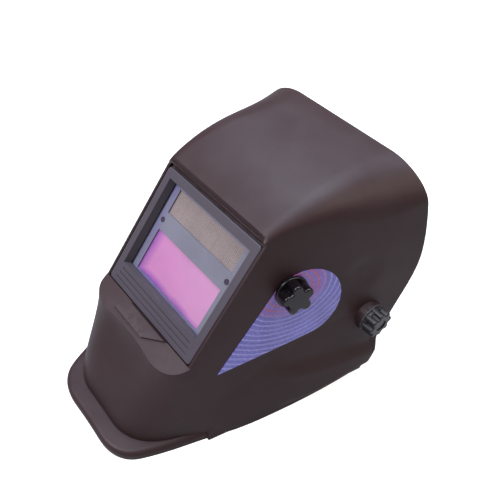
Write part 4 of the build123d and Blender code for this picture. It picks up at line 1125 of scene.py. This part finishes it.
# ---------------------------------------------------------------- window and cartridge
@dataclass
class Window:
    """Bezel, cover plates, filter cartridge and what is inside it."""

    face: ViewingFace
    finger_pitch: float = 1.7 * MM
    finger_width: float = 0.12 * MM

    def build(self) -> None:
        """Dress the window's nodes and add the cell fingers and the board's parts."""
        low, high = self.extent("viewing_filter")
        dress_all({
            "front_bezel": BEZEL_PLASTIC,
            "filter_holder": REAR_CASE,
            "outer_cover_lens": CLEAR_LENS,
            "inner_cover_lens": CLEAR_LENS,
            "lens_gasket": GASKET_FOAM,
            "cartridge_front_housing": CartridgeFace("cartridge_face", self.face),
            "cartridge_rear_housing": REAR_CASE,
            "viewing_filter": FilterGlass("coated_filter", self.face, low, high),
            "solar_panel": SolarFilm("solar_film", self.face),
            "light_sensors": SENSOR_EYE,
            "circuit_board": BoardLacquer("board_lacquer"),
            "battery_cells": CELL_STEEL,
            "cartridge_bail": SPRING_STEEL,
            "sensitivity_dial": CONTROL_PLASTIC,
            "delay_switch": CONTROL_PLASTIC,
        })
        self.build_fingers()
        self.build_board_parts()

    def extent(self, node: str) -> tuple[Vector, Vector]:
        """Return a node's lowest and highest corners in the face's own frame."""
        rows = np.stack(self.face.measure(MeshWork.points(frame["nodes"][node])), axis=1)
        return Vector(rows.min(0)), Vector(rows.max(0))

    def build_fingers(self) -> None:
        """Lay the fine collector lines over the solar strip."""
        low, high = self.extent("solar_panel")
        recipe = RunRecipe("cell_fingers", Layout.COUNT, bead=False)
        middle = (low.y + high.y) / 2
        top = high.z + 0.02 * MM
        inset = 3 * MM
        line = [self.face.point(low.x + inset, middle, top), self.face.point(high.x - inset, middle, top)]
        number = int((high.x - low.x - 2 * inset) / self.finger_pitch)
        size = Vector((self.finger_width, high.y - low.y - 5 * MM, 0.04 * MM))
        fingers = recipe.run(
            "solar_collector_fingers", line, PLATED_STEEL, Number=number, Size=size, Turn=self.face.euler(),
        )
        hand_over(fingers, "shell", "solar_cell", POT_METAL)

    def build_board_parts(self) -> None:
        """Seat chips and resistors over the inner side of the circuit board."""
        low, high = self.extent("circuit_board")
        recipe = ScatterRecipe("board_parts", seed=7)
        depth = low.z - 0.3 * MM
        edge = 5 * MM
        corners = [
            self.face.point(across, up, depth)
            for across, up in (
                (low.x + edge, low.y + edge), (high.x - edge, low.y + edge),
                (high.x - edge, low.y + 11 * MM), (low.x + edge, low.y + 11 * MM),
            )
        ]
        parts = recipe.run(
            "board_components", corners, CONTROL_PLASTIC, Apart=3.4 * MM, Turn=self.face.euler(),
            Smallest=Vector((1.0, 0.6, 0.5)) * MM, Largest=Vector((2.6, 1.8, 0.8)) * MM,
        )
        hand_over(parts, "shell", "control_plastic", CONTROL_PLASTIC)


# ---------------------------------------------------------------- shade control
@dataclass
class ShadeControl:
    """Side label, shade knob and the potentiometer behind it."""

    centre: Vector

    def build(self) -> None:
        """Dress the control's nodes; the label's rings spread round the knob."""
        dress_all({
            "side_label": PrintedFilm("ring_print", self.centre),
            "shade_knob": KNOB_GLOSS,
            "potentiometer_shaft": POT_METAL,
            "shade_potentiometer": POT_METAL,
            "potentiometer_nut": PLATED_STEEL,
            "shade_control_lead": LEAD_RUBBER,
            "lead_grommet": GASKET_FOAM,
        })


# ---------------------------------------------------------------- pivots
class Pivots:
    """Tension knobs, their inserts, washers and studs on both sides."""

    def build(self) -> None:
        """Dress the pivot hardware."""
        for side in ("left", "right"):
            dress_all({f"tension_knob_{side}": KNOB_SATIN, f"tension_nut_{side}": BRASS})
        dress_all({
            "outer_washers": WASHER_NYLON, "inner_washers": WASHER_NYLON, "pivot_studs": PLATED_STEEL,
        })


# ---------------------------------------------------------------- headgear
@dataclass
class PadShape:
    """How one padded piece swells."""

    voxel: float = 4.5 * MM
    pressure: float = 4.0
    cap: float = 2.5 * MM
    shrink: float = 0.8 * MM
    frames: int = 20
    fill: float = 0.7


class ClothPad:
    """A foam pad in a sewn cloth cover, swollen by a short cloth simulation."""

    def __init__(self, node: str, name: str, shape: PadShape) -> None:
        """Keep the CAD node that the pad stands for, its name and its shape."""
        self.node = node
        self.name = name
        self.shape = shape

    def build(self) -> Thing:
        """Return the swollen pad, before its seams."""
        pad = MeshWork.merged_copy(self.node, self.name)
        self.remesh(pad)
        self.shrink(pad)
        self.swell(pad)
        self.subdivide(pad)
        return pad

    def remesh(self, pad: Thing) -> None:
        """Give the pad an even skin of small faces."""
        modifier = pad.modifiers.new("remesh", "REMESH")
        modifier.mode = "VOXEL"
        modifier.voxel_size = self.shape.voxel
        self.apply(pad)

    def shrink(self, pad: Thing) -> None:
        """Draw the skin in a little, so that it has room to swell."""
        inward = self.shape.shrink * MeshWork.points(pad, "normal")
        MeshWork.set_points(pad, MeshWork.points(pad) - inward)

    def swell(self, pad: Thing) -> None:
        """Run the cloth simulation and cap how far each point moves."""
        before = MeshWork.points(pad)
        modifier = pad.modifiers.new("cloth", "CLOTH")
        modifier.settings.use_pressure = True
        modifier.settings.uniform_pressure_force = self.shape.pressure
        modifier.settings.effector_weights.gravity = 0.0
        scene = bpy.context.scene
        for step in range(1, self.shape.frames + 1):
            scene.frame_set(step)
        self.apply(pad)
        scene.frame_set(1)
        moved = MeshWork.points(pad) - before
        reach = np.linalg.norm(moved, axis=1, keepdims=True)
        MeshWork.set_points(pad, before + moved * np.minimum(1.0, self.shape.cap / np.maximum(reach, 1e-9)))

    def subdivide(self, pad: Thing) -> None:
        """Add one level of subdivision."""
        modifier = pad.modifiers.new("subdivision", "SUBSURF")
        modifier.levels = 1
        modifier.render_levels = 1
        self.apply(pad)

    def apply(self, pad: Thing) -> None:
        """Turn the pad's modifiers into its own mesh."""
        mesh = MeshWork.evaluated(pad)
        pad.modifiers.clear()
        pad.data = mesh
        mesh.name = self.name


@dataclass
class Headgear:
    """Bands, straps and pads."""

    ring: HeadRing
    seam_from_edge: float = 5 * MM
    seam_width: float = 1.6 * MM
    seam_depth: float = 1.1 * MM
    stitch: Vector = field(default_factory=lambda: Vector((0.55, 0.55, 2.1)) * MM)
    stitch_spacing: float = 3.0 * MM

    def build(self) -> None:
        """Dress the bands and build the sewn pads."""
        dress_all(dict.fromkeys((
            "brow_band", "side_arm_left", "side_arm_right", "crown_strap_left", "crown_strap_right",
            "crown_snap_pins", "band_keepers", "band_tail_left", "band_tail_right",
        ), HEADGEAR_NYLON))
        dress("headgear_rivets", RIVET_METAL)
        self.build_sweatband()
        self.build_nape_pad()

    def seam(self, pad: Thing, heights: Sequence[float]) -> None:
        """Press sewn channels into a pad at the given heights above the ring's centre."""
        points = MeshWork.points(pad)
        normals = MeshWork.points(pad, "normal")
        level = points[:, 2] - self.ring.centre.z
        press = np.zeros(len(points))
        for height in heights:
            press = np.maximum(press, smooth_step(np.abs(level - height), 2 * self.seam_width, 0.0))
        upright = 1.0 - np.abs(normals[:, 2])
        points -= (self.seam_depth * press * upright)[:, None] * normals
        MeshWork.set_points(pad, points)

    def stitches(self, name: str, lines: Sequence[Sequence[Vector]]) -> None:
        """Sew one row of thread along each line and join the rows into one piece."""
        recipe = RunRecipe(f"{name}_tree", Layout.LENGTH, bead=True)
        rows = [
            recipe.run(f"{name}_{index}", line, THREAD, Spacing=self.stitch_spacing, Size=self.stitch)
            for index, line in enumerate(lines)
        ]
        sketch = bmesh.new()
        for row in rows:
            sketch.from_mesh(row.data)
            bpy.data.objects.remove(row)
        thread = MeshWork.piece(name, [])
        sketch.to_mesh(thread.data)
        sketch.free()
        MeshWork.shade(thread)
        hand_over(thread, "headgear", "pad_fabric", THREAD)

    def sewn_pad(self, node: str, name: str, shape: PadShape) -> float:
        """Build a pad with its channels pressed in, and hand it over.

        Args:
            node: The CAD node that the pad stands for.
            name: The pad's name.
            shape: How the pad swells.

        Returns:
            The height of its upper channel above the ring's centre; the lower one mirrors it.
        """
        low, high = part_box(node)
        pad = ClothPad(node, name, shape).build()
        edge = (high.z - low.z) / 2 - self.seam_from_edge
        self.seam(pad, (-edge, edge))
        MeshWork.shade(pad, 60.0)
        hand_over(pad, "headgear", "pad_fabric", PAD_CLOTH, node)
        return edge

    def build_sweatband(self) -> None:
        """Build the brow pad and its stitching."""
        edge = self.sewn_pad("sweatband", "sweatband_pad", PadShape())
        inner = self.inner_inset("sweatband") - 0.4 * MM
        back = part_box("sweatband")[1].y
        limit = math.asin(min(1.0, (self.ring.centre.y - back) / (self.ring.along - inner)))
        steps = 60
        angles = [limit + 0.03 + (math.pi - 2 * limit - 0.06) * index / steps for index in range(steps + 1)]
        lines = [[self.ring.front(angle, inner, height) for angle in angles] for height in (-edge, edge)]
        self.stitches("sweatband_stitching", lines)

    def inner_inset(self, node: str) -> float:
        """Return how far a pad's inner face is inside the band's outer face, at the brow."""
        points = MeshWork.points(frame["nodes"][node])
        middle = points[np.abs(points[:, 0]) < 8 * MM]
        return float(middle[:, 1].max() - (self.ring.centre.y - self.ring.along))

    def build_nape_pad(self) -> None:
        """Build the pad behind the head and its stitching."""
        edge = self.sewn_pad("nape_pad", "nape_pad_cushion", PadShape(cap=2.0 * MM))
        points = MeshWork.points(frame["nodes"]["nape_pad"])
        radius = float(np.hypot(points[:, 0], points[:, 1] - self.ring.centre.y).min()) + 0.2 * MM
        limit = math.asin(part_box("nape_pad")[1].x / radius) - 0.14
        steps = 30
        angles = [-limit + 2 * limit * index / steps for index in range(steps + 1)]
        lines = [[self.ring.rear(angle, radius, height) for angle in angles] for height in (-edge, edge)]
        self.stitches("nape_pad_stitching", lines)


class Ratchet:
    """The rear adjuster: housing, cover, pinion, knob and screws."""

    def build(self) -> None:
        """Dress the adjuster's nodes."""
        dress_all({
            "ratchet_housing": HEADGEAR_NYLON,
            "ratchet_cover": HEADGEAR_NYLON,
            "ratchet_screws": RIVET_METAL,
            "ratchet_pinion": CONTROL_PLASTIC,
            "ratchet_knob": KNOB_SATIN,
        })


def main(cad_box: Any) -> None:
    """Build the studio and every sub-assembly in order."""
    logging.basicConfig(level=logging.INFO, format="%(message)s")
    Studio().build()
    face = ViewingFace.measured()
    Shell(face).build()
    Window(face).build()
    ShadeControl(joint_point("shade_turn")).build()
    Pivots().build()
    Headgear(HeadRing.measured()).build()
    Ratchet().build()


if __name__ == "__main__":
    main(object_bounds())
